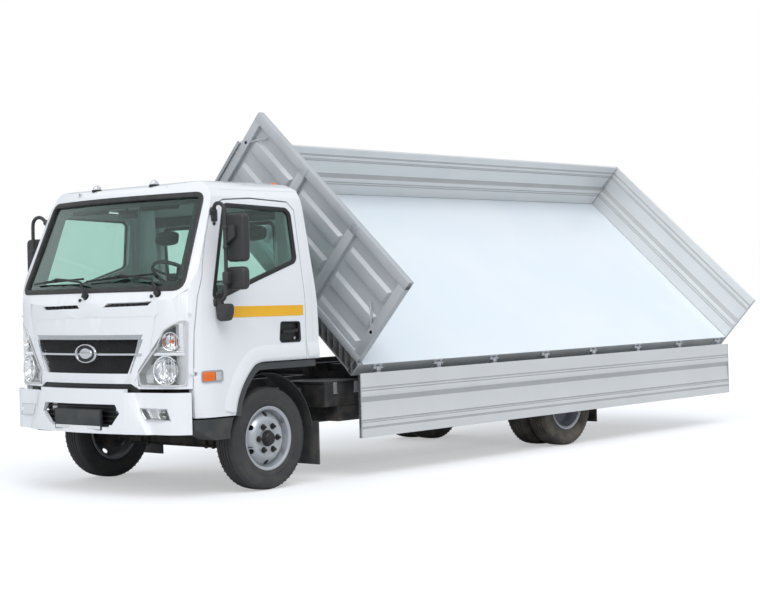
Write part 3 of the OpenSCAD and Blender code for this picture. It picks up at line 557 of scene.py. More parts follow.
def group_of(name, inputs, outputs):
    """An empty shader node group with named sockets."""
    group = bpy.data.node_groups.new(name, "ShaderNodeTree")
    for kind, label, value in inputs:
        socket = group.interface.new_socket(name=label, in_out="INPUT", socket_type=kind)
        if value is not None:
            socket.default_value = value
    for kind, label in outputs:
        group.interface.new_socket(name=label, in_out="OUTPUT", socket_type=kind)
    return group, group.nodes.new("NodeGroupInput"), group.nodes.new("NodeGroupOutput")


def math_node(nodes, links, operation, a, b=None, clamp=False):
    node = nodes.new("ShaderNodeMath")
    node.operation, node.use_clamp = operation, clamp
    for slot, value in zip(node.inputs, (a, b)):
        if isinstance(value, bpy.types.NodeSocket):
            links.new(value, slot)
        elif value is not None:
            slot.default_value = value
    return node.outputs[0]


def mix_colour(nodes, links, share, a, b):
    node = nodes.new("ShaderNodeMix")
    node.data_type = "RGBA"
    for slot, value in ((node.inputs[0], share), (node.inputs[6], a), (node.inputs[7], b)):
        if isinstance(value, bpy.types.NodeSocket):
            links.new(value, slot)
        else:
            slot.default_value = value
    return node.outputs[2]


def noise_node(nodes, links, vector, scale, detail=3.0):
    node = nodes.new("ShaderNodeTexNoise")
    node.inputs["Detail"].default_value = detail
    links.new(vector, node.inputs["Vector"])
    if isinstance(scale, bpy.types.NodeSocket):
        links.new(scale, node.inputs["Scale"])
    else:
        node.inputs["Scale"].default_value = scale
    return node.outputs["Fac"]


def ramp(nodes, links, value, low, high, to_low=0.0, to_high=1.0):
    node = nodes.new("ShaderNodeMapRange")
    node.interpolation_type = "SMOOTHSTEP"
    for slot, given in zip(node.inputs, (value, low, high, to_low, to_high)):
        if isinstance(given, bpy.types.NodeSocket):
            links.new(given, slot)
        else:
            slot.default_value = given
    return node.outputs[0]


def tone_group():
    """Slow variation of colour and roughness over a surface."""
    group, given, out = group_of("Surface tone", (
        ("NodeSocketVector", "Position", None), ("NodeSocketColor", "Colour", (0.8, 0.8, 0.8, 1)),
        ("NodeSocketColor", "Tint", (0.7, 0.7, 0.7, 1)), ("NodeSocketFloat", "Scale", 2.0),
        ("NodeSocketFloat", "Amount", 0.5), ("NodeSocketFloat", "Roughness", 0.4),
        ("NodeSocketFloat", "Spread", 0.1)), (("NodeSocketColor", "Colour"), ("NodeSocketFloat", "Roughness")))
    nodes, links = group.nodes, group.links
    slow = noise_node(nodes, links, given.outputs["Position"], given.outputs["Scale"], 4.0)
    share = math_node(nodes, links, "MULTIPLY", ramp(nodes, links, slow, 0.35, 0.7), given.outputs["Amount"])
    links.new(mix_colour(nodes, links, share, given.outputs["Colour"], given.outputs["Tint"]), out.inputs["Colour"])
    quick = math_node(nodes, links, "SUBTRACT", noise_node(nodes, links, given.outputs["Position"], 23.0), 0.5)
    change = math_node(nodes, links, "MULTIPLY", quick, given.outputs["Spread"])
    links.new(math_node(nodes, links, "ADD", given.outputs["Roughness"], change, True), out.inputs["Roughness"])
    return group


def dust_group():
    """Road dust that settles low down and thins out with height."""
    group, given, out = group_of("Road dust", (
        ("NodeSocketVector", "Position", None), ("NodeSocketColor", "Colour", (0.8, 0.8, 0.8, 1)),
        ("NodeSocketColor", "Dust", (0.22, 0.19, 0.15, 1)), ("NodeSocketFloat", "Amount", 0.4),
        ("NodeSocketFloat", "Height", 1.0), ("NodeSocketFloat", "Roughness", 0.4)),
        (("NodeSocketColor", "Colour"), ("NodeSocketFloat", "Roughness")))
    nodes, links = group.nodes, group.links
    split = nodes.new("ShaderNodeSeparateXYZ")
    links.new(given.outputs["Position"], split.inputs[0])
    fade = ramp(nodes, links, split.outputs["Z"], 0.0, given.outputs["Height"], 1.0, 0.0)
    patch = ramp(nodes, links, noise_node(nodes, links, given.outputs["Position"], 9.0, 6.0), 0.38, 0.68)
    share = math_node(nodes, links, "MULTIPLY", math_node(nodes, links, "MULTIPLY", fade, patch),
                      given.outputs["Amount"], True)
    links.new(mix_colour(nodes, links, share, given.outputs["Colour"], given.outputs["Dust"]), out.inputs["Colour"])
    rough = math_node(nodes, links, "MULTIPLY", share, 0.4)
    links.new(math_node(nodes, links, "ADD", given.outputs["Roughness"], rough, True), out.inputs["Roughness"])
    return group


def grain_group():
    """A fine grain, stretched along an axis for rolled and brushed metal."""
    group, given, out = group_of("Fine grain", (
        ("NodeSocketVector", "Position", None), ("NodeSocketVector", "Stretch", (1, 1, 1)),
        ("NodeSocketFloat", "Scale", 200.0)), (("NodeSocketFloat", "Height"),))
    nodes, links = group.nodes, group.links
    scaled = nodes.new("ShaderNodeVectorMath")
    scaled.operation = "MULTIPLY"
    links.new(given.outputs["Position"], scaled.inputs[0])
    links.new(given.outputs["Stretch"], scaled.inputs[1])
    links.new(noise_node(nodes, links, scaled.outputs[0], given.outputs["Scale"], 2.0), out.inputs["Height"])
    return group


# Each finish: colour, tint, variation scale and amount, roughness and its spread, metallic,
# grain scale, grain strength and stretch, dust amount and height, coat
WHITE, ORANGE = (0.87, 0.88, 0.905), (0.85, 0.17, 0.01)
EVEN, ALONG_X = (1, 1, 1), (0.02, 1, 1)
FINISHES = {
    "white_paint": (WHITE, (0.84, 0.85, 0.88), 1.5, 0.5, 0.30, 0.05, 0.0, 900, 0.02, EVEN, 0.12, 0.8, 0.7),
    "bed_paint": ((0.79, 0.86, 0.92), (0.86, 0.89, 0.92), 1.2, 0.7, 0.32, 0.14, 0.0, 60, 0.05, ALONG_X, 0.0, 1.0, 0.35),
    "bed_grey": ((0.50, 0.52, 0.54), (0.57, 0.59, 0.61), 3.0, 0.6, 0.38, 0.10, 0.3, 300, 0.04, EVEN, 0.0, 1.0, 0.2),
    "side_rail_grey": ((0.33, 0.34, 0.34), (0.42, 0.42, 0.41), 4.0, 0.6, 0.45, 0.1, 0.3, 300, 0.05, EVEN, 0.0, 1.0, 0.0),
    "aluminium": ((0.74, 0.75, 0.75), (0.79, 0.795, 0.79), 2.5, 0.5, 0.42, 0.12, 0.35, 260, 0.10, ALONG_X, 0.0, 1.0, 0.0),
    "tail_aluminium": ((0.74, 0.75, 0.75), (0.79, 0.795, 0.79), 2.5, 0.5, 0.42, 0.12, 0.35, 260, 0.05, EVEN, 0.0, 1.0, 0.0),
    # Rougher, unbrushed aluminium painted darker: painted shade for the boards' grooves and undercut slope
    "dull_aluminium": ((0.50, 0.505, 0.50), (0.56, 0.565, 0.56), 2.5, 0.5, 0.55, 0.1, 0.3, 260, 0.10, EVEN, 0.0, 1.0, 0.0),
    "galvanised": ((0.55, 0.57, 0.60), (0.70, 0.72, 0.74), 30.0, 0.8, 0.38, 0.2, 0.8, 300, 0.05, EVEN, 0.0, 1.0, 0.0),
    "frame_black": ((0.022, 0.022, 0.024), (0.045, 0.043, 0.04), 6.0, 0.8, 0.5, 0.2, 0.0, 400, 0.08, EVEN, 0.45, 1.1, 0.0),
    "cast_dark": ((0.03, 0.03, 0.03), (0.075, 0.06, 0.05), 12.0, 0.8, 0.7, 0.2, 0.2, 240, 0.3, EVEN, 0.55, 0.9, 0.0),
    "black_plastic": ((0.016, 0.016, 0.017), (0.026, 0.026, 0.027), 5.0, 0.6, 0.42, 0.1, 0.0, 1300, 0.12, EVEN, 0.1, 0.6, 0.0),
    "mirror_plastic": ((0.035, 0.035, 0.037), (0.05, 0.05, 0.05), 6.0, 0.6, 0.5, 0.1, 0.0, 1300, 0.15, EVEN, 0.0, 0.6, 0.0),
    "grey_plastic": ((0.04, 0.045, 0.048), (0.06, 0.062, 0.062), 5.0, 0.6, 0.62, 0.1, 0.0, 900, 0.25, EVEN, 0.35, 0.9, 0.0),
    "trim_grey": ((0.055, 0.06, 0.062), (0.075, 0.078, 0.078), 5.0, 0.6, 0.58, 0.1, 0.0, 900, 0.2, EVEN, 0.25, 1.0, 0.0),
    "seal_rubber": ((0.028, 0.028, 0.028), (0.05, 0.05, 0.05), 10.0, 0.6, 0.55, 0.1, 0.0, 700, 0.1, EVEN, 0.0, 1.0, 0.0),
    "tyre_rubber": ((0.040, 0.041, 0.043), (0.058, 0.057, 0.055), 7.0, 0.8, 0.70, 0.12, 0.0, 500, 0.25, EVEN, 0.14, 0.5, 0.0),
    "dusty_rubber": ((0.060, 0.054, 0.048), (0.11, 0.095, 0.08), 7.0, 0.9, 0.85, 0.1, 0.0, 300, 0.3, EVEN, 0.45, 0.8, 0.0),
    "wheel_silver": ((0.50, 0.52, 0.55), (0.60, 0.62, 0.64), 8.0, 0.5, 0.34, 0.1, 0.55, 500, 0.05, EVEN, 0.15, 0.6, 0.25),
    "chrome": ((0.78, 0.79, 0.81), (0.70, 0.71, 0.73), 6.0, 0.4, 0.10, 0.05, 1.0, 500, 0.01, EVEN, 0.0, 1.0, 0.0),
    "lamp_silver": ((0.66, 0.67, 0.68), (0.74, 0.75, 0.76), 12.0, 0.4, 0.30, 0.08, 0.35, 500, 0.02, EVEN, 0.0, 1.0, 0.3),
    "satin_silver": ((0.55, 0.57, 0.58), (0.64, 0.65, 0.66), 8.0, 0.4, 0.28, 0.08, 0.9, 500, 0.03, EVEN, 0.0, 1.0, 0.0),
    "ram_chrome": ((0.62, 0.63, 0.65), (0.45, 0.45, 0.46), 10.0, 0.5, 0.16, 0.1, 1.0, 500, 0.02, EVEN, 0.0, 1.0, 0.0),
    "exhaust_steel": ((0.20, 0.17, 0.14), (0.12, 0.075, 0.05), 9.0, 0.9, 0.55, 0.2, 0.8, 300, 0.15, EVEN, 0.3, 0.9, 0.0),
    "stripe_yellow": ((0.95, 0.50, 0.01), (0.88, 0.44, 0.01), 4.0, 0.5, 0.35, 0.1, 0.0, 900, 0.02, EVEN, 0.0, 1.0, 0.3),
    "marker_orange": (ORANGE, (0.75, 0.12, 0.01), 20.0, 0.5, 0.18, 0.05, 0.0, 300, 0.1, EVEN, 0.0, 1.0, 0.5),
    "lamp_red": ((0.5, 0.012, 0.01), (0.38, 0.01, 0.01), 20.0, 0.5, 0.2, 0.05, 0.0, 300, 0.1, EVEN, 0.0, 1.0, 0.5),
    "cab_lining": ((0.10, 0.115, 0.11), (0.13, 0.145, 0.14), 4.0, 0.5, 0.8, 0.1, 0.0, 900, 0.2, EVEN, 0.0, 1.0, 0.0),
    "roof_lining": ((0.30, 0.32, 0.31), (0.36, 0.38, 0.37), 3.0, 0.5, 0.9, 0.05, 0.0, 700, 0.2, EVEN, 0.0, 1.0, 0.0),
    "dash_grey": ((0.045, 0.05, 0.05), (0.06, 0.065, 0.065), 5.0, 0.5, 0.6, 0.1, 0.0, 900, 0.25, EVEN, 0.0, 1.0, 0.0),
    "mirror_glass": ((0.75, 0.78, 0.80), (0.72, 0.75, 0.78), 2.0, 0.3, 0.02, 0.0, 1.0, 500, 0.0, EVEN, 0.0, 1.0, 0.0),
    "plate_white": ((0.75, 0.76, 0.77), (0.66, 0.67, 0.68), 12.0, 0.5, 0.4, 0.1, 0.0, 500, 0.03, EVEN, 0.1, 0.8, 0.2),
}
GLASSES = {"window_glass": ((0.60, 0.80, 0.74), 0.0), "lamp_lens": ((0.97, 0.98, 0.98), 0.02)}
MADE, GROUPS = {}, {}


def shared(key, maker):
    if key not in GROUPS:
        GROUPS[key] = maker()
    return GROUPS[key]


def place_group(nodes, links, group, values):
    node = nodes.new("ShaderNodeGroup")
    node.node_tree = group
    for key, value in values.items():
        if isinstance(value, bpy.types.NodeSocket):
            links.new(value, node.inputs[key])
        else:
            node.inputs[key].default_value = value
    return node.outputs


# Finishes whose colour is taken from the scene's settings
CHOSEN = {
    "white_paint": ("truck_cab", "paint"), "stripe_yellow": ("truck_cab", "stripe"), "trim_grey": ("truck_cab", "trim"),
    "bed_paint": ("truck_bed", "floor_paint"), "bed_grey": ("truck_bed", "headboard_paint"),
    "side_rail_grey": ("truck_bed", "rail_paint"), "aluminium": ("truck_bed", "boards"), "tail_aluminium": ("truck_bed", "boards"),
    "wheel_silver": ("truck_wheels", "rims"),
}


def solid_finish(name, spec):
    (colour, tint, scale, amount, rough, spread, metallic, grain, strength, stretch, dust, height, coat) = spec
    if name in CHOSEN:
        group, key = CHOSEN[name]
        colour = tuple(getattr(getattr(bpy.context.scene, group), key))
    made = bpy.data.materials.new(name)
    made.use_nodes = True
    nodes, links = made.node_tree.nodes, made.node_tree.links
    shader = nodes["Principled BSDF"]
    where = nodes.new("ShaderNodeTexCoord").outputs["Object"]
    tone = place_group(nodes, links, shared("tone", tone_group), {
        "Position": where, "Colour": (*colour, 1), "Tint": (*tint, 1), "Scale": scale, "Amount": amount,
        "Roughness": rough, "Spread": spread})
    end = tone
    if dust:
        end = place_group(nodes, links, shared("dust", dust_group), {
            "Position": where, "Colour": tone["Colour"], "Amount": dust, "Height": height,
            "Roughness": tone["Roughness"]})
    links.new(end["Colour"], shader.inputs["Base Color"])
    links.new(end["Roughness"], shader.inputs["Roughness"])
    shader.inputs["Metallic"].default_value = metallic
    shader.inputs["Coat Weight"].default_value = coat
    shader.inputs["Coat Roughness"].default_value = 0.06
    if strength:
        height_out = place_group(nodes, links, shared("grain", grain_group), {
            "Position": where, "Stretch": stretch, "Scale": grain})["Height"]
        bump = nodes.new("ShaderNodeBump")
        bump.inputs["Strength"].default_value = strength
        bump.inputs["Distance"].default_value = 0.002
        links.new(height_out, bump.inputs["Height"])
        links.new(bump.outputs[0], shader.inputs["Normal"])
    return made


def glass_finish(name, spec):
    tint, rough = spec
    made = bpy.data.materials.new(name)
    made.use_nodes = True
    nodes, links = made.node_tree.nodes, made.node_tree.links
    shader = nodes["Principled BSDF"]
    where = nodes.new("ShaderNodeTexCoord").outputs["Object"]
    tone = place_group(nodes, links, shared("tone", tone_group), {
        "Position": where, "Colour": (*tint, 1), "Tint": (*[c * 0.96 for c in tint], 1), "Scale": 1.5,
        "Amount": 0.5, "Roughness": rough, "Spread": 0.01})
    links.new(tone["Colour"], shader.inputs["Base Color"])
    links.new(tone["Roughness"], shader.inputs["Roughness"])
    shader.inputs["Transmission Weight"].default_value = 1.0
    shader.inputs["IOR"].default_value = 1.45
    return made


def cloth_finish(name):
    """Woven seat cloth: crossed threads with a pale fleck."""
    made = bpy.data.materials.new(name)
    made.use_nodes = True
    nodes, links = made.node_tree.nodes, made.node_tree.links
    shader = nodes["Principled BSDF"]
    where = nodes.new("ShaderNodeTexCoord").outputs["Object"]
    split = nodes.new("ShaderNodeSeparateXYZ")
    links.new(where, split.inputs[0])
    threads = [math_node(nodes, links, "SINE", math_node(nodes, links, "MULTIPLY", split.outputs[axis], 1400.0))
               for axis in ("X", "Y", "Z")]
    weave = math_node(nodes, links, "MULTIPLY", math_node(nodes, links, "ADD", threads[0], threads[2]), threads[1])
    fleck = ramp(nodes, links, noise_node(nodes, links, where, 120.0, 3.0), 0.52, 0.62)
    links.new(mix_colour(nodes, links, fleck, (0.045, 0.05, 0.06, 1), (0.11, 0.12, 0.14, 1)), shader.inputs["Base Color"])
    shader.inputs["Roughness"].default_value = 0.9
    shader.inputs["Sheen Weight"].default_value = 0.3
    bump = nodes.new("ShaderNodeBump")
    bump.inputs["Strength"].default_value = 0.3
    bump.inputs["Distance"].default_value = 0.001
    links.new(weave, bump.inputs["Height"])
    links.new(bump.outputs[0], shader.inputs["Normal"])
    return made


def material(key):
    if key not in MADE:
        if key in GLASSES:
            MADE[key] = glass_finish(key, GLASSES[key])
        elif key == "seat_cloth":
            MADE[key] = cloth_finish(key)
        else:
            MADE[key] = solid_finish(key, FINISHES[key])
    return MADE[key]


# The finish of each CAD node that is shown as it is
NODE_FINISH = {
    "frame_rails": "frame_black", "cross_members": "frame_black", "tipper_subframe": "frame_black",
    "front_axle": "cast_dark", "leaf_springs": "cast_dark", "rear_axle": "cast_dark",
    "propeller_shaft": "cast_dark", "engine": "cast_dark", "fuel_tank": "frame_black",
    "battery_box": "frame_black", "exhaust": "exhaust_steel", "front_bumper": "white_paint",
    "front_mudguards": "grey_plastic", "rear_bar": "frame_black", "cab_floor": "cab_lining",
    "cab_front": "white_paint", "cab_sides": "white_paint", "arch_trims": "trim_grey", "cab_roof": "white_paint",
    "cab_rear_wall": "white_paint", "cab_glass": "window_glass", "dashboard": "dash_grey", "seats": "seat_cloth",
    "headlamps": "lamp_lens", "grille": "black_plastic", "left_door": "white_paint",
    "left_door_glass": "window_glass", "left_mirrors": "mirror_plastic", "right_door": "white_paint",
    "right_door_glass": "window_glass", "right_mirrors": "mirror_plastic", "steering_wheel": "black_plastic",
    "left_knuckle": "cast_dark", "right_knuckle": "cast_dark", "tie_rod": "cast_dark",
    "front_left_tyre": "tyre_rubber", "front_right_tyre": "tyre_rubber", "front_left_rim": "wheel_silver",
    "front_right_rim": "wheel_silver", "rear_left_tyres": "dusty_rubber", "rear_right_tyres": "dusty_rubber",
    "rear_left_rims": "wheel_silver", "rear_right_rims": "wheel_silver", "cylinder_barrel": "frame_black",
    "cylinder_stage_1": "ram_chrome", "cylinder_stage_2": "ram_chrome", "cylinder_stage_3": "ram_chrome",
    "bed_floor": "side_rail_grey", "headboard": "bed_grey", "left_side_board": "aluminium",
    "right_side_board": "aluminium", "tailgate": "aluminium",
}


class TRUCK_OT_frame_finishes(bpy.types.Operator):
    """Gives every CAD node its finish"""

    bl_idname = "truck.frame_finishes"
    bl_label = "Frame finishes"

    def execute(self, context):
        for node, key in NODE_FINISH.items():
            obj = frame["nodes"][node]
            obj.data.materials.clear()
            obj.data.materials.append(material(key))
        return {"FINISHED"}


# ---- Cab ----
DOOR_OUTLINE = ((0.735, 0.585), (0.735, 0.8), (0.722, 1.2), (0.696, 1.45), (0.62, 1.77), (0.53, 2.02), (0.455, 2.112),
                (0.37, 2.15), (0.09, 2.165), (-0.29, 2.145), (-0.352, 2.085), (-0.362, 1.4), (-0.362, 0.958))
WINDOW = ((0.577, 1.423), (0.372, 2.096), (0.345, 2.11), (-0.262, 2.086), (-0.296, 2.055), (-0.304, 1.73),
          (-0.285, 1.7), (0.114, 1.576))
SCREEN = ((-0.925, 1.51), (0.925, 1.51), (0.862, 2.2), (-0.862, 2.2))
REAR_WINDOW = ((-0.64, 1.56), (0.64, 1.56), (0.64, 2.01), (-0.64, 2.01))
GRILLE = ((-0.47, 0.905), (0.47, 0.905), (0.61, 1.185), (-0.61, 1.185))
ARCH = ((0.388, 0.585), (0.365, 0.69), (0.31, 0.8), (0.225, 0.905), (0.15, 0.958), (-0.362, 0.958), (-0.47, 0.958))
# The centre panel between the lamps, from its upper left corner round
HOOD_LINE = ((0.962, 1.50), (0.80, 1.385), (0.722, 1.308), (0.65, 0.952), (0.575, 0.90), (0.522, 0.839), (0.585, 0.76))
SLOTS = (((-0.515, 1.403), (-0.49, 1.377), (-0.03, 1.384), (-0.058, 1.41)),
         ((0.28, 1.419), (0.24, 1.389), (0.663, 1.396), (0.70, 1.425)))
LOWER_SLOT = ((-0.50, 0.832), (0.50, 0.832), (0.575, 0.79), (0.575, 0.76), (-0.575, 0.76), (-0.575, 0.79))


def shell_of(nodes, cutters, name, body, extra=None):
    """CAD panels as one painted piece, with cuts and soft edges."""
    for node in nodes:
        bm = bmesh.new()
        add_cad(bm, node)
        if cutters:
            bm = cut_by(bm, cutters())
        if extra:
            extra(bm)
        finished(bm, name, body, ["white_paint"], replaces=[node], slot="painted_white", bevel=0.004, angle=30)


def groove(outline, surface, width, depth, closed=False):
    """A cutter that follows a line on a surface."""
    bm = bmesh.new()
    half = width / 2
    add_band(bm, spaced([Vector(p) for p in outline], 0.05, closed),
             ((-half, 0.01), (half, 0.01), (half, -depth), (-half, -depth)), surface, closed)
    return bm


def slot_cutter(outline, surface, depth):
    bm = bmesh.new()
    add_plate(bm, outline, surface, -depth, 0.02, 0.08)
    return bm


class TRUCK_OT_cab_shell(bpy.types.Operator):
    """Makes the painted cab panels with their seams, slots and soft edges"""

    bl_idname = "truck.cab_shell"
    bl_label = "Cab shell"

    def execute(self, context):
        def front_cuts():
            cuts = [groove([(side * y, z) for y, z in HOOD_LINE], on_front, 0.007, 0.005) for side in (-1, 1)]
            cuts.append(groove(((-0.60, 1.302), (-0.2, 1.312), (0.2, 1.315), (0.722, 1.316)), on_front, 0.004, 0.003))
            cuts += [slot_cutter(outline, on_front, 0.022) for outline in SLOTS]
            cuts.append(slot_cutter(LOWER_SLOT, on_front, 0.03))
            return cuts

        shell_of(["cab_front"], front_cuts, "cab_front_panel", "cab")
        shell_of(["cab_sides"], None, "cab_side_panels", "cab")
        shell_of(["cab_roof"], None, "cab_roof_panel", "cab")
        shell_of(["cab_rear_wall"], None, "cab_rear_panel", "cab")
        bm = bmesh.new()
        for outline, depth in ((SLOTS[0], 0.024), (SLOTS[1], 0.024), (LOWER_SLOT, 0.016)):
            add_plate(bm, outline, on_front, -depth, -depth + 0.006, 0.08)
        for outline in SLOTS:
            low, high = min(p[0] for p in outline), max(p[0] for p in outline)
            for k in range(9):
                y = low + (high - low) * (k + 0.5) / 9
                z = 1.398
                add_block(bm, on_front(y, z, -0.02) - Vector((0.004, 0.002, 0.011)),
                          on_front(y, z, -0.006) + Vector((0.0, 0.002, 0.011)))
        finished(bm, "vent_inserts", "cab", ["black_plastic"], slot="black_plastic")
        return {"FINISHED"}


class TRUCK_OT_windscreen(bpy.types.Operator):
    """Makes the windscreen's rubber, the wipers and the washer jets"""

    bl_idname = "truck.windscreen"
    bl_label = "Windscreen and wipers"

    def execute(self, context):
        bm = bmesh.new()
        ring = spaced(rounded(SCREEN, 0.07), 0.06)
        add_band(bm, ring, ((0.022, -0.022), (0.022, 0.004), (0.014, 0.009), (0.004, 0.006), (-0.006, 0.009),
                            (-0.014, 0.004), (-0.014, -0.004)), on_front)
        finished(bm, "windscreen_rubber", "cab", ["seal_rubber"], slot="black_plastic", angle=50)
        bm = bmesh.new()
        frit = shifted(ring, 0.05)
        add_band(bm, spaced(frit, 0.06), ((0.016, -0.0205), (0.016, -0.0212), (-0.04, -0.0212), (-0.04, -0.0205)), on_front)
        finished(bm, "windscreen_border", "cab", ["black_plastic"], slot="black_plastic")
        bm = bmesh.new()
        for pivot, elbow, tip, ends in (
                ((0.028, 1.47), (-0.03, 1.57), (-0.39, 1.596), ((-0.75, 1.575), (-0.06, 1.600))),
                ((0.733, 1.478), (0.675, 1.575), (0.36, 1.607), ((-0.005, 1.580), (0.655, 1.618)))):
            base = on_front(*pivot, 0.004)
            add_rod(bm, base, on_front(*pivot, 0.034), 0.021, bevel=0.006)
            add_rod(bm, on_front(*pivot, -0.01), base, 0.027)
            bend = on_front(pivot[0] * 0.25 + elbow[0] * 0.75, pivot[1] * 0.3 + elbow[1] * 0.7, 0.046)
            add_tube(bm, [on_front(*pivot, 0.026), on_front(pivot[0], pivot[1] + 0.03, 0.042), bend,
                          on_front(*elbow, 0.046), on_front(*tip, 0.034)], 0.0095)
            low, high = (Vector(p) for p in ends)
            for k in range(5):
                a, b = low.lerp(high, k / 5), low.lerp(high, (k + 1) / 5)
                add_rod(bm, on_front(*a, 0.011), on_front(*b, 0.011), 0.0075, segments=8)
                add_rod(bm, on_front(*a, 0.003), on_front(*b, 0.003), 0.0025, segments=6)
            middle = low.lerp(high, 0.5)
            for share, reach in ((0.28, 0.16), (0.72, 0.16)):
                at = low.lerp(high, share)
                along_blade = (high - low).normalized()
                add_tube(bm, [on_front(*(at - along_blade * reach * 0.8), 0.014), on_front(*at, 0.026),
                              on_front(*(at + along_blade * reach * 0.8), 0.014)], 0.004)
            add_tube(bm, [on_front(*low.lerp(high, 0.28), 0.026), on_front(*middle, 0.036),
                          on_front(*low.lerp(high, 0.72), 0.026)], 0.005)
            add_block(bm, on_front(*middle, 0.03) - Vector((0.012, 0.02, 0.01)),
                      on_front(*middle, 0.03) + Vector((0.012, 0.02, 0.01)), 0.004)
        for y, z in ((-0.027, 1.443), (0.685, 1.46)):
            add_rod(bm, on_front(y, z, -0.005), on_front(y, z, 0.012), 0.013, bevel=0.004)
        finished(bm, "wipers", "cab", ["black_plastic"], slot="black_plastic")
        return {"FINISHED"}


class TRUCK_OT_grille(bpy.types.Operator):
    """Makes the grille: bars, side wedges, mesh and a blank round badge"""

    bl_idname = "truck.grille"
    bl_label = "Grille"

    def execute(self, context):
        bm = bmesh.new()
        # Lattice of crossed bars, behind the frame
        pitch, lean = 0.030, 0.55
        for slant in (-1, 1):
            for k in range(-24, 45):
                low = Vector((k * pitch - 0.33, 0.905))
                a = Vector((low.x, 0.905))
                b = Vector((low.x + slant * 0.28 / lean, 1.185))
                points = []
                for t in range(25):
                    p = a.lerp(b, t / 24)
                    half = 0.47 + (p.y - 0.905) * 0.5
                    if abs(p.x) < half - 0.004:
                        points.append(p)
                if len(points) > 1:
                    for p, q in ((points[0], points[len(points) // 2]), (points[len(points) // 2], points[-1])):
                        if (q - p).length > 0.01:
                            add_rod(bm, on_front(p.x, p.y, -0.016), on_front(q.x, q.y, -0.016), 0.0035, segments=4)
        add_plate(bm, GRILLE, on_front, -0.042, -0.034, 0.1)
        finished(bm, "grille_mesh", "cab", ["black_plastic"], replaces=["grille"], slot="black_plastic", angle=30)
        bm = bmesh.new()
        top = ((-0.575, 1.152), (0.59, 1.152), (0.615, 1.187), (-0.615, 1.187))
        add_plate(bm, top, on_front, -0.03, 0.006, 0.06, 0, 0.003)
        for side in (-1, 1):
            for upper, lower in ((1.152, 1.052), (1.036, 0.912)):
                outer = [0.478 + (z - 0.905) * 0.5 for z in (lower, upper)]
                inner = [0.505 + (z - 0.93) * 0.33 for z in (lower, upper)]
                wedge = [(side * inner[0], lower), (side * outer[0] + side * 0.015, lower),
                         (side * outer[1] + side * 0.012, upper), (side * inner[1], upper)]
                if side < 0:
                    wedge.reverse()
                add_plate(bm, wedge, on_front, -0.03, 0.003, 0.06, 0, 0.003)
        finished(bm, "grille_silver", "cab", ["satin_silver"], slot="rim_silver")
        bm = bmesh.new()
        bar = ((-0.555, 1.036), (0.60, 1.036), (0.606, 1.053), (-0.565, 1.053))
        add_plate(bm, bar, on_front, -0.03, 0.007, 0.06, 0, 0.003)
        centre = on_front(0.057, 1.052, 0.0)
        add_turned(bm, ((0.118, -0.02), (0.118, 0.012), (0.110, 0.020), (0.100, 0.018), (0.096, 0.008), (0.096, -0.02)),
                   badge_place(centre), 0, 64, True)
        add_turned(bm, ((0.0, 0.026), (0.040, 0.024), (0.062, 0.016), (0.066, 0.008), (0.0, 0.008)), badge_place(centre), 0, 48)
        add_turned(bm, ((0.0, 0.008), (0.097, 0.006), (0.097, -0.01), (0.0, -0.01)), badge_place(centre), 1, 48)
        finished(bm, "grille_chrome", "cab", ["chrome", "black_plastic"], slot="rim_silver")
        return {"FINISHED"}


def badge_place(centre):
    """An upright oval facing forwards."""
    turn = Matrix(((0, 0, 1), (1, 0, 0), (0, 1, 0))).to_4x4()
    return Matrix.Translation(centre) @ turn @ Matrix.Diagonal((1.06, 0.62, 1, 1))


LAMP = ((0.585, 0.818), (0.945, 0.818), (0.955, 1.283), (0.905, 1.278), (0.80, 1.215), (0.735, 1.10), (0.567, 0.905))


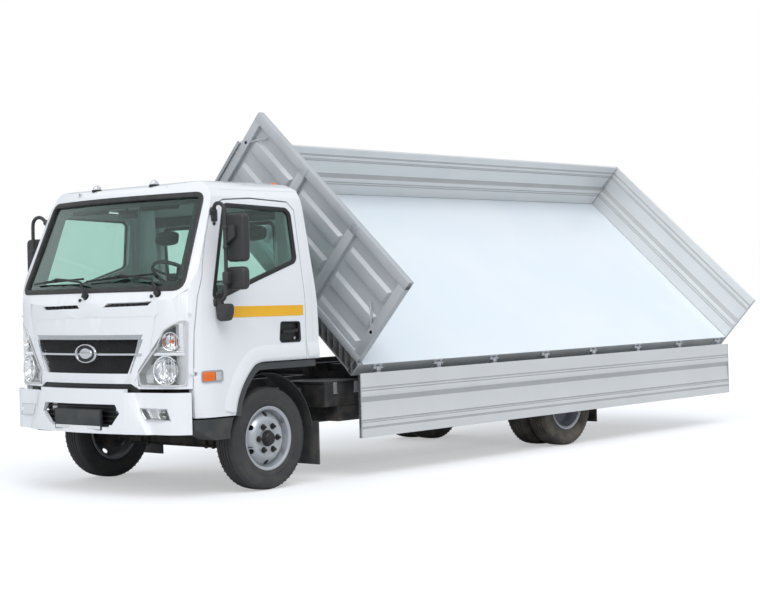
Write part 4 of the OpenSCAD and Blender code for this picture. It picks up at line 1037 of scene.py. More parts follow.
class TRUCK_OT_headlamps(bpy.types.Operator):
    """Makes the headlamps: reflectors, bulbs, bezels and clear lenses"""

    bl_idname = "truck.headlamps"
    bl_label = "Headlamps"

    def execute(self, context):
        inner, trim, lens = bmesh.new(), bmesh.new(), bmesh.new()
        for side in (-1, 1):
            outline = [(side * y, z) for y, z in LAMP]
            if side < 0:
                outline.reverse()
            ring = spaced(rounded(outline, 0.03, 4), 0.04)
            add_plate(lens, [(p.x, p.y) for p in ring], on_front, 0.0, 0.004, 0.03)
            add_plate(inner, [(p.x, p.y) for p in shifted(ring, 0.004)], on_front, -0.075, -0.07, 0.05, 1)
            add_band(trim, ring, ((-0.006, -0.03), (-0.006, 0.004), (0.001, 0.006), (0.006, 0.004), (0.010, -0.07), (0.004, -0.07)),
                     on_front)
            # The main reflector and its rim
            for (y, z), radius, depth, turn in (((0.80, 0.928), 0.098, 0.07, 14), ((0.845, 1.135), 0.062, 0.05, 24)):
                at = on_front(side * y, z, -0.014)
                face = Matrix(((0, 0, 1), (1, 0, 0), (0, 1, 0))).to_4x4()
                place = Matrix.Translation(at) @ Matrix.Rotation(math.radians(side * turn), 4, "Z") @ face
                add_turned(inner, ((radius, 0.004), (radius * 1.08, 0.006), (radius * 1.12, 0.0), (radius * 1.02, -0.012),
                                   (radius * 0.86, -depth * 0.62), (radius * 0.4, -depth * 0.95), (0.0, -depth),
                                   (0.0, -depth + 0.004), (radius * 0.38, -depth * 0.9), (radius * 0.8, -depth * 0.6),
                                   (radius * 0.94, -0.014)), place, 0, 40, True)
                add_turned(inner, ((0.0, 0.0), (0.012, -0.004), (0.014, -0.03), (0.018, -depth * 0.9), (0.0, -depth * 0.95)),
                           place, 0 if z < 1 else 2, 20)
                for k in range(7):
                    x = radius * (k - 3) / 3.6
                    tall = math.sqrt(max(radius ** 2 - x ** 2, 0)) * 0.8
                    sweep = add_block(inner, (x - 0.0016, -tall, -depth * 0.62), (x + 0.0016, tall, -depth * 0.50))
                    bmesh.ops.transform(inner, matrix=place, verts=sweep)
            # The shelf between the two reflectors and the indicator's cell
            for lo, hi, mat in (((0.62, 1.035, 0.02), (0.945, 1.058, 0.012), 0), ((0.905, 1.10, 0.03), (0.948, 1.265, 0.02), 0),
                                ((0.62, 0.84, 0.03), (0.68, 0.90, 0.03), 1)):
                shelf = [(side * lo[0], lo[1]), (side * hi[0], lo[1]), (side * hi[0], hi[1]), (side * lo[0], hi[1])]
                if side < 0:
                    shelf.reverse()
                add_plate(inner, shelf, on_front, -lo[2] - 0.02, -hi[2], 0.05, mat)
            for k in range(4):
                z = 1.065 + k * 0.010
                add_tube(inner, [on_front(side * y, z, -0.022) for y in (0.70 + k * 0.005, 0.78, 0.86, 0.94)], 0.0035, 0)
        finished(inner, "headlamp_reflectors", "cab", ["chrome", "lamp_silver", "marker_orange"], replaces=["headlamps"],
                 slot="lamp_glass")
        finished(trim, "headlamp_bezels", "cab", ["lamp_silver"], slot="grey_plastic")
        finished(lens, "headlamp_lenses", "cab", ["lamp_lens"], slot="lamp_glass")
        return {"FINISHED"}


# ---- Bumper and doors ----
BUMPER_Z0, BUMPER_Z1, BUMPER_BACK = 0.472, 0.771, 0.776
INTAKE = ((-0.36, 0.535), (0.36, 0.535), (0.435, 0.62), (0.395, 0.685), (-0.42, 0.685), (-0.46, 0.62))
FOG = ((0.655, 0.575), (0.875, 0.572), (0.845, 0.660), (0.60, 0.664))


def bumper_ring(low, high, z0, z1, limit):
    """A slice of the bumper between two depths, within a half width."""
    bm = bmesh.new()
    ys = [limit * (k / 24 - 1) for k in range(49)]
    outer = [Vector((nose_x(y, 0.008 + high) + 0.047, y, z0)) for y in ys]
    inner = []
    for y in reversed(ys):
        # The slice runs out to nothing round the bumper's corners
        share = min(max((0.95 - abs(y)) / 0.16, 0), 1)
        inner.append(Vector((nose_x(y, 0.008 + low * share + 0.003 * (1 - share)) + 0.047, y, z0)))
    add_prism(bm, outer + inner, Vector((0, 0, z1 - z0)))
    return bm


class TRUCK_OT_bumper(bpy.types.Operator):
    """Makes the bumper with its raised middle, intake, fog lamps and plate holder"""

    bl_idname = "truck.bumper"
    bl_label = "Bumper"

    def execute(self, context):
        bm = bmesh.new()
        add_cad(bm, "front_bumper")
        cutters = []
        for side in (-1, 1):
            # Beyond the raised middle the face stands back
            back = bumper_ring(-0.024, 0.05, BUMPER_Z0 - 0.01, BUMPER_Z1 + 0.03, 0.96)
            normal = Vector((1.1, side, 0.42)).normalized()
            bmesh.ops.bisect_plane(back, geom=back.verts[:] + back.edges[:] + back.faces[:],
                                   plane_co=(on_bumper(0.53, 0.74).x, side * 0.53, 0.74), plane_no=normal, clear_inner=True)
            bmesh.ops.holes_fill(back, edges=[e for e in back.edges if e.is_boundary])
            cutters.append(back)
        intake = bmesh.new()
        add_plate(intake, INTAKE, on_bumper, -0.06, 0.02, 0.1)
        cutters.append(intake)
        for side in (-1, 1):
            fog = [(side * y, z) for y, z in FOG]
            if side < 0:
                fog.reverse()
            hole = bmesh.new()
            add_plate(hole, fog, on_bumper, -0.06, 0.02, 0.1)
            cutters.append(hole)
        bm = cut_by(bm, cutters)
        # The raised middle's top lip
        lip = bumper_ring(-0.034, -0.001, BUMPER_Z1 - 0.012, BUMPER_Z1 + 0.026, 0.485)
        mesh = bpy.data.meshes.new("lip")
        bmesh.ops.recalc_face_normals(lip, faces=lip.faces)
        lip.to_mesh(mesh)
        lip.free()
        bm.from_mesh(mesh)
        bpy.data.meshes.remove(mesh)
        finished(bm, "bumper_skin", "chassis", ["white_paint"], replaces=["front_bumper"], slot="painted_white",
                 bevel=0.011, angle=30)
        bm = bmesh.new()
        add_plate(bm, [(y * 1.04, z) for y, z in INTAKE], on_bumper, -0.075, -0.068, 0.1, 0)
        for k in range(4):
            z = 0.56 + k * 0.034
            add_band(bm, [Vector((-0.45 + 0.1 * n, z)) for n in range(10)],
                     ((-0.006, -0.068), (0.006, -0.068), (0.004, -0.045), (-0.004, -0.045)), on_bumper, False)
        # Plate holder with a blank plate and a pale strip
        add_block(bm, (0.985, -0.280, 0.496), (1.0045, 0.262, 0.648), 0.004, 0)
        add_block(bm, (1.0, -0.268, 0.530), (1.0070, 0.250, 0.641), 0.002, 1)
        add_block(bm, (0.9985, -0.268, 0.500), (1.0080, 0.250, 0.526), 0.002, 2)
        finished(bm, "bumper_intake", "chassis", ["black_plastic", "grey_plastic", "plate_white"], slot="black_plastic")
        inner, lens = bmesh.new(), bmesh.new()
        for side in (-1, 1):
            fog = [(side * y, z) for y, z in FOG]
            if side < 0:
                fog.reverse()
            ring = spaced(rounded(fog, 0.015, 3), 0.05)
            add_plate(lens, [(p.x, p.y) for p in shifted(ring, 0.003)], on_bumper, -0.020, -0.016, 0.06)
            add_plate(inner, [(p.x, p.y) for p in shifted(ring, 0.001)], on_bumper, -0.064, -0.056, 0.06, 0)
            add_band(inner, ring, ((0.0, -0.06), (0.0, -0.014), (0.006, -0.014), (0.012, -0.055)), on_bumper, mat=1)
            at = on_bumper(side * 0.80, 0.618, -0.024)
            face = Matrix(((0, 0, 1), (1, 0, 0), (0, 1, 0))).to_4x4()
            place = Matrix.Translation(at) @ Matrix.Rotation(math.radians(side * 14), 4, "Z") @ face
            add_turned(inner, ((0.036, 0.0), (0.040, 0.002), (0.041, -0.004), (0.026, -0.028), (0.0, -0.034), (0.0, -0.03),
                               (0.022, -0.024), (0.034, -0.004)), place, 0, 28, True)
            add_turned(inner, ((0.0, 0.0), (0.011, -0.004), (0.011, -0.03), (0.0, -0.032)), place, 2, 16)
        finished(inner, "fog_lamp_reflectors", "chassis", ["satin_silver", "chrome", "grey_plastic"], slot="lamp_glass")
        finished(lens, "fog_lamp_lenses", "chassis", ["lamp_lens"], slot="lamp_glass")
        return {"FINISHED"}


def sided(surface, side):
    def place(x, z, out):
        p = surface(x, z, out)
        return Vector((p.x, side * p.y, p.z))
    return place


class TRUCK_OT_doors(bpy.types.Operator):
    """Makes the doors' skins, window rubbers, handles, stripes, markers and linings"""

    bl_idname = "truck.doors"
    bl_label = "Doors"

    def execute(self, context):
        for side, name in ((1, "left"), (-1, "right")):
            body = name + "_door_body"
            skin = sided(on_side, side)
            rear = 4

            def handle_cut():
                bm = bmesh.new()
                add_plate(bm, HANDLE, skin, -0.03, 0.02, 0.06)
                return [bm]

            shell_of([name + "_door"], handle_cut, name + "_door_skin", body)
            bm = bmesh.new()
            ring = spaced(rounded(WINDOW, 0.035, 4), 0.06)
            add_band(bm, ring, ((-0.020, -0.012), (-0.020, 0.002), (-0.014, 0.006), (0.004, 0.006), (0.012, 0.0),
                                (0.012, -0.020), (-0.004, -0.022)), skin)
            finished(bm, name + "_window_rubber", body, ["black_plastic"], slot="black_plastic", angle=50)
            # Handle: a dark recess, its lip and the pull
            bm = bmesh.new()
            hole = spaced(rounded(HANDLE, 0.02, 4), 0.04)
            add_plate(bm, [(p.x, p.y) for p in hole], skin, -0.034, -0.028, 0.06)
            add_band(bm, hole, ((-0.004, -0.004), (-0.005, 0.003), (0.002, 0.004), (0.008, -0.004), (0.010, -0.03), (0.0, -0.03)), skin)
            pull = ((-0.112, 1.158), (-0.278, 1.165), (-0.278, 1.19), (-0.112, 1.183))
            add_plate(bm, pull[::-1], skin, -0.022, 0.006, 0.05, 0, 0.004)
            add_rod(bm, skin(-0.26, 1.12, -0.03), skin(-0.26, 1.12, -0.016), 0.012, 1, 20, 0.003)
            finished(bm, name + "_door_handle", body, ["black_plastic", "satin_silver"], slot="black_plastic")
            bm = bmesh.new()
            stripe = ((0.439, 1.292), (0.439, 1.374), (-0.341, 1.366), (-0.341, 1.288))
            add_plate(bm, stripe, skin, 0.0002, 0.0012, 0.1)
            finished(bm, name + "_door_stripe", body, ["stripe_yellow"], slot="painted_white")
            bm = bmesh.new()
            marker = spaced(rounded(((0.69, 0.836), (0.69, 0.922), (0.508, 0.922), (0.508, 0.836)), 0.02, 4), 0.04)
            add_plate(bm, [(p.x, p.y) for p in marker], skin, -0.003, 0.006, 0.05, 1, 0.002)
            cells = (((0.680, 0.846), (0.680, 0.912), (0.590, 0.912), (0.590, 0.846)), 0), (
                ((0.584, 0.850), (0.584, 0.908), (0.525, 0.908), (0.525, 0.850)), 2)
            for cell, mat in cells:
                add_plate(bm, cell, skin, 0.004, 0.012, 0.04, mat, 0.003)
            finished(bm, name + "_side_marker", body, ["marker_orange", "satin_silver", "lamp_lens"], slot="lamp_glass")
            # The flare pressed round the wheel arch, on the door and on the corner behind it
            flare = ((0.0, 0.0), (0.006, 0.010), (0.03, 0.013), (0.065, 0.012), (0.10, 0.005), (0.125, -0.001), (0.06, -0.003))
            door_part = [Vector(p) for p in ((0.385, 0.60), *ARCH[1:5], (-0.05, 0.96), (-0.352, 0.96))]
            for part, owner, title in ((door_part, body, name + "_door_flare"),
                                       ([Vector(p) for p in ((-0.376, 0.962), (-0.42, 0.962), (-0.50, 0.962))], "cab", name + "_corner_flare")):
                bm = bmesh.new()
                line = spaced(smooth_line(part), 0.04, False) if owner != "cab" else part
                add_band(bm, line, [(-o, h) for o, h in flare], skin, False)
                finished(bm, title, owner, ["white_paint"], slot="painted_white", angle=60)
            bm = bmesh.new()
            lining = ((0.62, 1.02), (0.60, 1.36), (0.10, 1.52), (-0.33, 1.64), (-0.335, 1.02))
            inside = spaced(rounded(lining[::-1], 0.04, 3), 0.08)
            add_plate(bm, [(p.x, p.y) for p in inside], skin, -0.066, -0.058, 0.1, 0, 0.004)
            add_block(bm, (-0.10, side * 0.965 - 0.035, 1.30), (0.36, side * 0.965 + 0.01, 1.345), 0.012)
            finished(bm, name + "_door_lining", body, ["cab_lining"], slot="grey_plastic")
        return {"FINISHED"}


HANDLE = ((-0.085, 1.112), (-0.098, 1.244), (-0.298, 1.240), (-0.304, 1.094), (-0.100, 1.094))


def smooth_line(points, rounds=2):
    """An open line with its corners cut twice, so that it bends smoothly."""
    for _ in range(rounds):
        out = [points[0]]
        for a, b in zip(points, points[1:]):
            out += [a.lerp(b, 0.25), a.lerp(b, 0.75)]
        points = out + [points[-1]]
    return points


# Each mirror head: middle, width across, height, depth
MIRRORS = (((0.462, 1.180, 1.865), 0.185, 0.345, 0.070), ((0.466, 1.172, 1.575), 0.195, 0.165, 0.065))


class TRUCK_OT_mirrors(bpy.types.Operator):
    """Makes the mirrors: arms, heads, clamps and glasses"""

    bl_idname = "truck.mirrors"
    bl_label = "Mirrors"

    def execute(self, context):
        for side, name in ((1, "left"), (-1, "right")):
            bm, glass = bmesh.new(), bmesh.new()
            arm = [(0.492, 0.960, 2.035), (0.510, 0.985, 2.085), (0.522, 1.020, 2.118), (0.528, 1.075, 2.118), (0.530, 1.118, 2.085),
                   (0.530, 1.122, 2.02), (0.530, 1.122, 1.80), (0.530, 1.120, 1.60), (0.532, 1.118, 1.49), (0.535, 1.105, 1.435),
                   (0.540, 1.07, 1.412), (0.546, 1.035, 1.408)]
            add_tube(bm, arm, 0.0145, sides=12)
            # Brackets on the door's frame
            for at, size in (((0.487, 0.955, 2.035), (0.026, 0.024, 0.045)), ((0.548, 1.030, 1.405), (0.034, 0.02, 0.028))):
                lo, hi = Vector(at) - Vector(size), Vector(at) + Vector(size)
                add_block(bm, lo, hi, 0.012, 0, 3)
            add_rod(bm, (0.492, 0.950, 2.045), (0.512, 0.985, 2.082), 0.024, bevel=0.006)
            add_rod(bm, (0.484, 0.952, 1.965), (0.492, 0.955, 1.985), 0.018, bevel=0.006)
            drop, narrow = (0.0, 1.0) if side > 0 else (0.09, 0.86)
            for k, ((x, y, z), wide, tall, deep) in enumerate(MIRRORS):
                if k == 0:
                    z, wide = z - drop, wide * narrow
                shape = [(y - wide / 2, z - tall / 2), (y + wide / 2, z - tall / 2), (y + wide / 2, z + tall / 2),
                         (y - wide / 2, z + tall / 2)]
                ring = rounded(shape, 0.045, 5)
                head = add_prism(bm, [Vector((x - deep / 2, p.x, p.y)) for p in ring], Vector((deep, 0, 0)), 0, 0.018, 4)
                pane = rounded([(p.x, p.y) for p in shifted(shape, 0.012)], 0.035, 5)
                add_prism(glass, [Vector((x - deep / 2 - 0.002, p.x, p.y)) for p in pane], Vector((0.004, 0, 0)))
            # The big head's cover and the small head's clamp
            cover = rounded(((1.092, 1.80), (1.205, 1.868), (1.205, 1.955), (1.092, 1.955)), 0.012, 3)
            add_prism(bm, [Vector((0.482, p.x, p.y - drop)) for p in cover], Vector((0.044, 0, 0)), 0, 0.008, 3)
            add_block(bm, (0.480, 1.095, 1.535), (0.552, 1.150, 1.622), 0.012, 0, 3)
            for z in (1.80 - drop, 1.94 - drop):
                add_rod(bm, (0.530, 1.122, z - 0.012), (0.530, 1.122, z + 0.012), 0.021, 0, 20, 0.004)
            # The low mirror that looks down on the corner
            add_tube(bm, [(0.548, 1.04, 1.40), (0.55, 1.07, 1.398), (0.55, 1.095, 1.395)], 0.017)
            bowl = rounded(((1.048, 1.285), (1.085, 1.268), (1.14, 1.275), (1.162, 1.33), (1.162, 1.395), (1.040, 1.395)), 0.03, 4)
            add_prism(bm, [Vector((0.495, p.x, p.y)) for p in bowl], Vector((0.075, 0, 0)), 0, 0.022, 4)
            pane = rounded(((1.058, 1.295), (1.088, 1.283), (1.132, 1.288), (1.150, 1.335), (1.150, 1.383), (1.052, 1.383)), 0.02, 4)
            add_prism(glass, [Vector((0.4935, p.x, p.y)) for p in pane], Vector((0.004, 0, 0)))
            flip_side(bm, side)
            flip_side(glass, side)
            finished(bm, name + "_mirror_heads", name + "_door_body", ["mirror_plastic"], replaces=[name + "_mirrors"],
                     slot="black_plastic", angle=50)
            finished(glass, name + "_mirror_glasses", name + "_door_body", ["mirror_glass"], slot="black_plastic")
        return {"FINISHED"}


# ---- Wheels ----
TYRE_R, TYRE_HALF, RIM_R = 0.384, 0.1025, 0.235
# The tyre's section from the inner bead over the tread, as (radius, along the axle)
SIDEWALL = ((0.224, 0.0745), (0.236, 0.0765), (0.2395, 0.0835), (0.246, 0.0900), (0.254, 0.0945), (0.262, 0.0965), (0.266, 0.0990),
            (0.271, 0.0990), (0.275, 0.0975), (0.292, 0.1003), (0.305, 0.1020), (0.318, 0.1022), (0.330, 0.1012), (0.3345, 0.1016),
            (0.3385, 0.1010), (0.347, 0.0985), (0.356, 0.0950), (0.3600, 0.0948), (0.3665, 0.0905), (0.3735, 0.0835), (0.3790, 0.0745))


def tyre_profile(depth, ribs):
    """The closed section of a tyre with ribs round its tread."""
    tread = []
    half, groove = 0.0700, 0.0042
    pitch = 2 * half / ribs
    for k in range(1, ribs):
        at = half - k * pitch
        r = TYRE_R - 0.0035 * abs(at / half) ** 2
        tread += [(r, at + groove), (r - depth, at + groove * 0.7), (r - depth, at - groove * 0.7), (r, at - groove)]
    outer = list(SIDEWALL) + [(TYRE_R - 0.0035, half)]
    other = [(TYRE_R - 0.0035, -half)] + [(r, -h) for r, h in reversed(SIDEWALL)]
    return outer + tread + other


def on_axle(x, y, side):
    """The wheel's own space: +Z outwards along the axle."""
    turn = Matrix.Rotation(math.radians(-90 * side), 4, "X")
    return Matrix.Translation((x, y, AXLE_Z)) @ turn


def add_tread_cuts(bm, place, mat, count=56):
    """Sipes across the shoulders, laid on as thin strips of darker rubber: painted shade in place of cut slits."""
    for side in (-1, 1):
        for k in range(count):
            turn = Matrix.Rotation(2 * math.pi * (k + 0.25 * side) / count, 4, "Z")
            made = add_block(bm, (0.3712, -0.0022, side * 0.078 - 0.010), (0.3785, 0.0022, side * 0.078 + 0.008), 0.0, mat)
            bmesh.ops.transform(bm, matrix=place @ turn, verts=made)


def add_rim(bm, place, face, root, front):
    """A rim with its rolled lips and a disc pierced by hand holes."""
    w = 0.0770
    barrel = ((0.2215, -w), (0.2350, -w - 0.001), (0.2385, -w - 0.004), (0.2390, -w - 0.010), (0.2350, -w - 0.012), (0.2280, -w - 0.009),
              (0.2170, -w - 0.004), (0.2140, -w + 0.012), (0.2020, -0.035), (0.2020, 0.030), (0.2120, w - 0.014), (0.2150, w + 0.002),
              (0.2230, w + 0.006), (0.2290, w + 0.0105), (0.2350, w + 0.012), (0.2390, w + 0.010), (0.2385, w + 0.004), (0.2350, w + 0.001),
              (0.2215, w), (0.2200, w - 0.016), (0.2085, 0.026), (0.2085, -0.030), (0.2205, -w + 0.016))
    add_turned(bm, barrel, place, 0, 72, True)
    t = 0.009
    if front:
        line = ((0.060, face - 0.004), (0.072, face - 0.004), (0.078, face), (0.118, face), (0.126, face + 0.003), (0.140, face + 0.004),
                (0.152, face - 0.001), (0.168, face - 0.016), (0.190, face - 0.038), (0.200, root + 0.006), (0.2075, root))
    else:
        slope = (root - face) / 5
        line = ((0.052, face), (0.120, face), (0.132, face + 0.0), *[(0.145 + 0.0125 * k, face + slope * (k + 0.3)) for k in range(5)], (0.2075, root))
    disc = bmesh.new()
    add_turned(disc, [*line, *[(r, h - t) for r, h in reversed(line)]], None, 0, 72, True)
    holes = []
    mid = 0.178
    height = along([(r, h) for r, h in line], mid)
    for k in range(6):
        a = 2 * math.pi * (k + 0.5) / 6
        hole = bmesh.new()
        verts = bmesh.ops.create_cone(hole, cap_ends=True, segments=20, radius1=0.5, radius2=0.5, depth=0.12)["verts"]
        bmesh.ops.scale(hole, vec=(0.036, 0.044, 1), verts=verts)
        bmesh.ops.transform(hole, matrix=Matrix.Rotation(a, 4, "Z") @ Matrix.Translation((mid, 0, height)), verts=verts)
        holes.append(hole)
    disc = cut_by(disc, holes)
    disc.transform(place)
    mesh = bpy.data.meshes.new("disc")
    disc.to_mesh(mesh)
    disc.free()
    bm.from_mesh(mesh)
    bpy.data.meshes.remove(mesh)


def add_nuts(bm, place, radius, height, count, mats, size=0.0165, tall=0.030):
    for k in range(count):
        a = 2 * math.pi * k / count
        at = place @ Vector((radius * math.cos(a), radius * math.sin(a), height - 0.002))
        out = (place.to_3x3() @ Vector((0, 0, 1))).normalized()
        add_rod(bm, at, at + out * 0.005, size * 1.45, mats[0], 20, 0.0015)
        add_rod(bm, at + out * 0.004, at + out * tall * 0.75, size, mats[1], 6, 0.0018)
        add_rod(bm, at + out * tall * 0.7, at + out * tall, size * 0.75, mats[1], 16, 0.002, size * 0.55)
        add_rod(bm, at + out * tall * 0.95, at + out * (tall + 0.007), size * 0.42, mats[1], 12, 0.001)


class TRUCK_OT_wheels(bpy.types.Operator):
    """Makes the tyres, rims, hubs and wheel nuts"""

    bl_idname = "truck.wheels"
    bl_label = "Wheels"

    def execute(self, context):
        settings = context.scene.truck_wheels
        depth, ribs = settings.groove_depth, settings.tread_ribs
        for side, name in ((1, "left"), (-1, "right")):
            place = on_axle(0, side * HALF_TRACK, side)
            bm = bmesh.new()
            add_tread_cuts(bm, place, 1)
            add_turned(bm, tyre_profile(depth, ribs), place, 0, 120, True)
            finished(bm, f"front_{name}_tread", f"front_{name}_wheel", ["tyre_rubber", "seal_rubber"],
                     replaces=[f"front_{name}_tyre"], slot="tyre_rubber", angle=32)
            bm = bmesh.new()
            add_rim(bm, place, 0.079, 0.020, True)
            add_nuts(bm, place, 0.098, 0.079, 6, (1, 1))
            # Hub with its cap, and the brake drum behind the disc
            hub = ((0.0, 0.119), (0.020, 0.1185), (0.022, 0.116), (0.036, 0.1145), (0.044, 0.110), (0.0485, 0.102), (0.0495, 0.092),
                   (0.0545, 0.0905), (0.0565, 0.086), (0.057, 0.078), (0.0615, 0.077), (0.0615, 0.046), (0.040, 0.046), (0.040, -0.046), (0.0, -0.046))
            add_turned(bm, hub, place, 1, 40)
            drum = ((0.060, 0.060), (0.120, 0.058), (0.138, 0.048), (0.1445, 0.030), (0.1445, -0.020), (0.1425, -0.024), (0.1445, -0.028),
                    (0.1445, -0.080), (0.060, -0.080))
            add_turned(bm, drum, place, 2, 56, True)
            valve = place @ Matrix.Rotation(0.3, 4, "Z")
            add_rod(bm, valve @ Vector((0.196, 0, 0.045)), valve @ Vector((0.178, 0, 0.092)), 0.0035, 1, 10, 0.0008)
            finished(bm, f"front_{name}_wheel_disc", f"front_{name}_wheel", ["wheel_silver", "black_plastic", "cast_dark"],
                     replaces=[f"front_{name}_rim"], slot="rim_silver", angle=34)
        for side, name in ((1, "left"), (-1, "right")):
            outer, inner = (on_axle(REAR_AXLE_X, side * (HALF_TRACK - d), side) for d in (0, TWIN_PITCH))
            bm = bmesh.new()
            for place in (outer, inner):
                add_tread_cuts(bm, place, 1)
            for place in (outer, inner):
                add_turned(bm, tyre_profile(depth, ribs), place, 0, 120, True)
            finished(bm, f"rear_{name}_treads", f"rear_{name}_wheels", ["dusty_rubber", "tyre_rubber"],
                     replaces=[f"rear_{name}_tyres"], slot="tyre_rubber", angle=32)
            bm = bmesh.new()
            add_rim(bm, outer, -0.1125, -0.042, False)
            add_rim(bm, inner, 0.1215, 0.046, False)
            add_nuts(bm, outer, 0.092, -0.1125, 6, (0, 1))
            hub = ((0.0, 0.020), (0.040, 0.020), (0.046, 0.016), (0.047, -0.040), (0.056, -0.046), (0.060, -0.052), (0.0605, -0.11),
                   (0.0605, -0.30), (0.0505, -0.31), (0.0505, -0.13), (0.0, -0.12))
            add_turned(bm, hub, outer, 1, 40)
            ring = [outer @ Vector((0.030 * math.cos(a), 0.030 * math.sin(a), 0.019)) for a in [2 * math.pi * k / 8 for k in range(8)]]
            out = outer.to_3x3() @ Vector((0, 0, 1))
            for p in ring:
                add_bolt(bm, p, out, 0.0065, 0.006, 1)
            drum = ((0.062, -0.175), (0.128, -0.177), (0.140, -0.185), (0.1445, -0.20), (0.1445, -0.29), (0.062, -0.29))
            add_turned(bm, drum, outer, 2, 56, True)
            finished(bm, f"rear_{name}_wheel_discs", f"rear_{name}_wheels", ["wheel_silver", "cast_dark", "cast_dark"],
                     replaces=[f"rear_{name}_rims"], slot="rim_silver", angle=34)
        return {"FINISHED"}


# ---- Tipping bed ----
HEAD_Y = 1.065
HEAD_BACK = BED_FRONT - 0.060
POST_Y = (-HEAD_Y / 3, HEAD_Y / 3)
HEAD_RIBS = ((1.642, 1.535), (1.392, 1.285), (1.142, 1.046))
RAIL_Y = BED_EDGE - 0.002
# Across a drop board from its hinged edge: share of its height, and depth below its face
BOARD_STEPS = ((0.0, 2.5), (0.004, 1.0), (0.215, 1.0), (0.222, 3.4), (0.236, 3.4), (0.242, 1.2), (0.262, 1.2),
               (0.268, 5.0), (0.280, 5.0), (0.290, 0.0), (0.330, 0.0), (0.348, 2.0), (0.364, 3.2), (0.450, 15.5),
               (0.50, 15.5), (0.56, 13.6), (0.62, 10.6), (0.68, 6.6), (0.720, 3.0), (0.728, 6.0), (0.742, 6.0),
               (0.750, 1.2), (0.758, 1.2), (0.764, 3.6), (0.774, 3.6), (0.780, 0.6), (0.828, 0.6), (0.836, 2.6),
               (0.868, 2.6), (0.874, 1.2), (0.996, 1.2), (1.0, 2.6))
# Shares of a board's height where the inner face is painted darker, as painted shade in the grooves and on the undercut
# slope
BOARD_DULL = ((0.218, 0.240), (0.264, 0.284), (0.364, 0.452), (0.724, 0.746), (0.760, 0.777), (0.832, 0.870))
SIDE_HINGES = [BED_FRONT - 0.235 - i * 5.28 / 7 for i in range(8)]
TAIL_HINGES = (-0.81, -0.27, 0.27, 0.81)


def board_section(low, high):
    """A drop board's section as (across, up) from the lower edge; its deeper, inner face looks towards minus."""
    tall = high - low
    inner = [(-BOARD_T + d / 1000, low + s * tall) for s, d in BOARD_STEPS]
    outer = [(-d / 3200, low + s * tall) for s, d in reversed(BOARD_STEPS)]
    return inner + outer


def board_piece(x0, x1, ends):
    """A drop board along X with its hinge axis through the origin, its end caps and its hinge eyes."""
    bm = bmesh.new()
    inset = 0.010
    section = board_section(BOARD_Z0 - BOARD_HINGE_Z, BOARD_Z1 - BOARD_HINGE_Z)
    add_prism(bm, [Vector((x0 + inset, y - 0.013, z)) for y, z in section], Vector((x1 - x0 - 2 * inset, 0, 0)), 0)
    bmesh.ops.triangulate(bm, faces=[f for f in bm.faces if len(f.verts) > 4])
    for face in bm.faces:
        # Grooves and the undercut slope on the inner face get a rougher, unbrushed aluminium painted darker: painted
        # shade where the profile turns away from the light
        share = (face.calc_center_median().z - (BOARD_Z0 - BOARD_HINGE_Z)) / (BOARD_Z1 - BOARD_Z0)
        if face.calc_center_median().y < -0.013 - BOARD_T * 0.4 and any(a < share < b for a, b in BOARD_DULL):
            face.material_index = 3
    low, high = BOARD_Z0 - BOARD_HINGE_Z, BOARD_Z1 - BOARD_HINGE_Z
    for x in (x0, x1 - inset):
        add_block(bm, (x, -0.013 - BOARD_T, low), (x + inset, -0.013, high), 0.002, 1)
    for x in ends:
        # Latch pin standing out of the end cap, in its pressed seat
        at = high - 0.045
        add_block(bm, (x - 0.006 + 0.001, -0.013 - BOARD_T + 0.003, at - 0.028), (x + 0.001, -0.016, at + 0.028), 0.003, 2)
    return bm


def add_eye(bm, x):
    """A hinge eye and its strap on the board's inner side."""
    add_rod(bm, (x - 0.022, 0, 0), (x + 0.022, 0, 0), 0.0118, 2, 20, 0.002)
    add_block(bm, (x - 0.022, -0.0128, -0.010), (x + 0.022, -0.0025, 0.030), 0.003, 2)
    add_block(bm, (x - 0.021, -0.0128, 0.02), (x + 0.021, -0.0072, 0.110), 0.002, 2)
    for z in (0.055, 0.085):
        add_bolt(bm, (x, -0.0075, z), (0, 1, 0), 0.009, 0.005, 2)


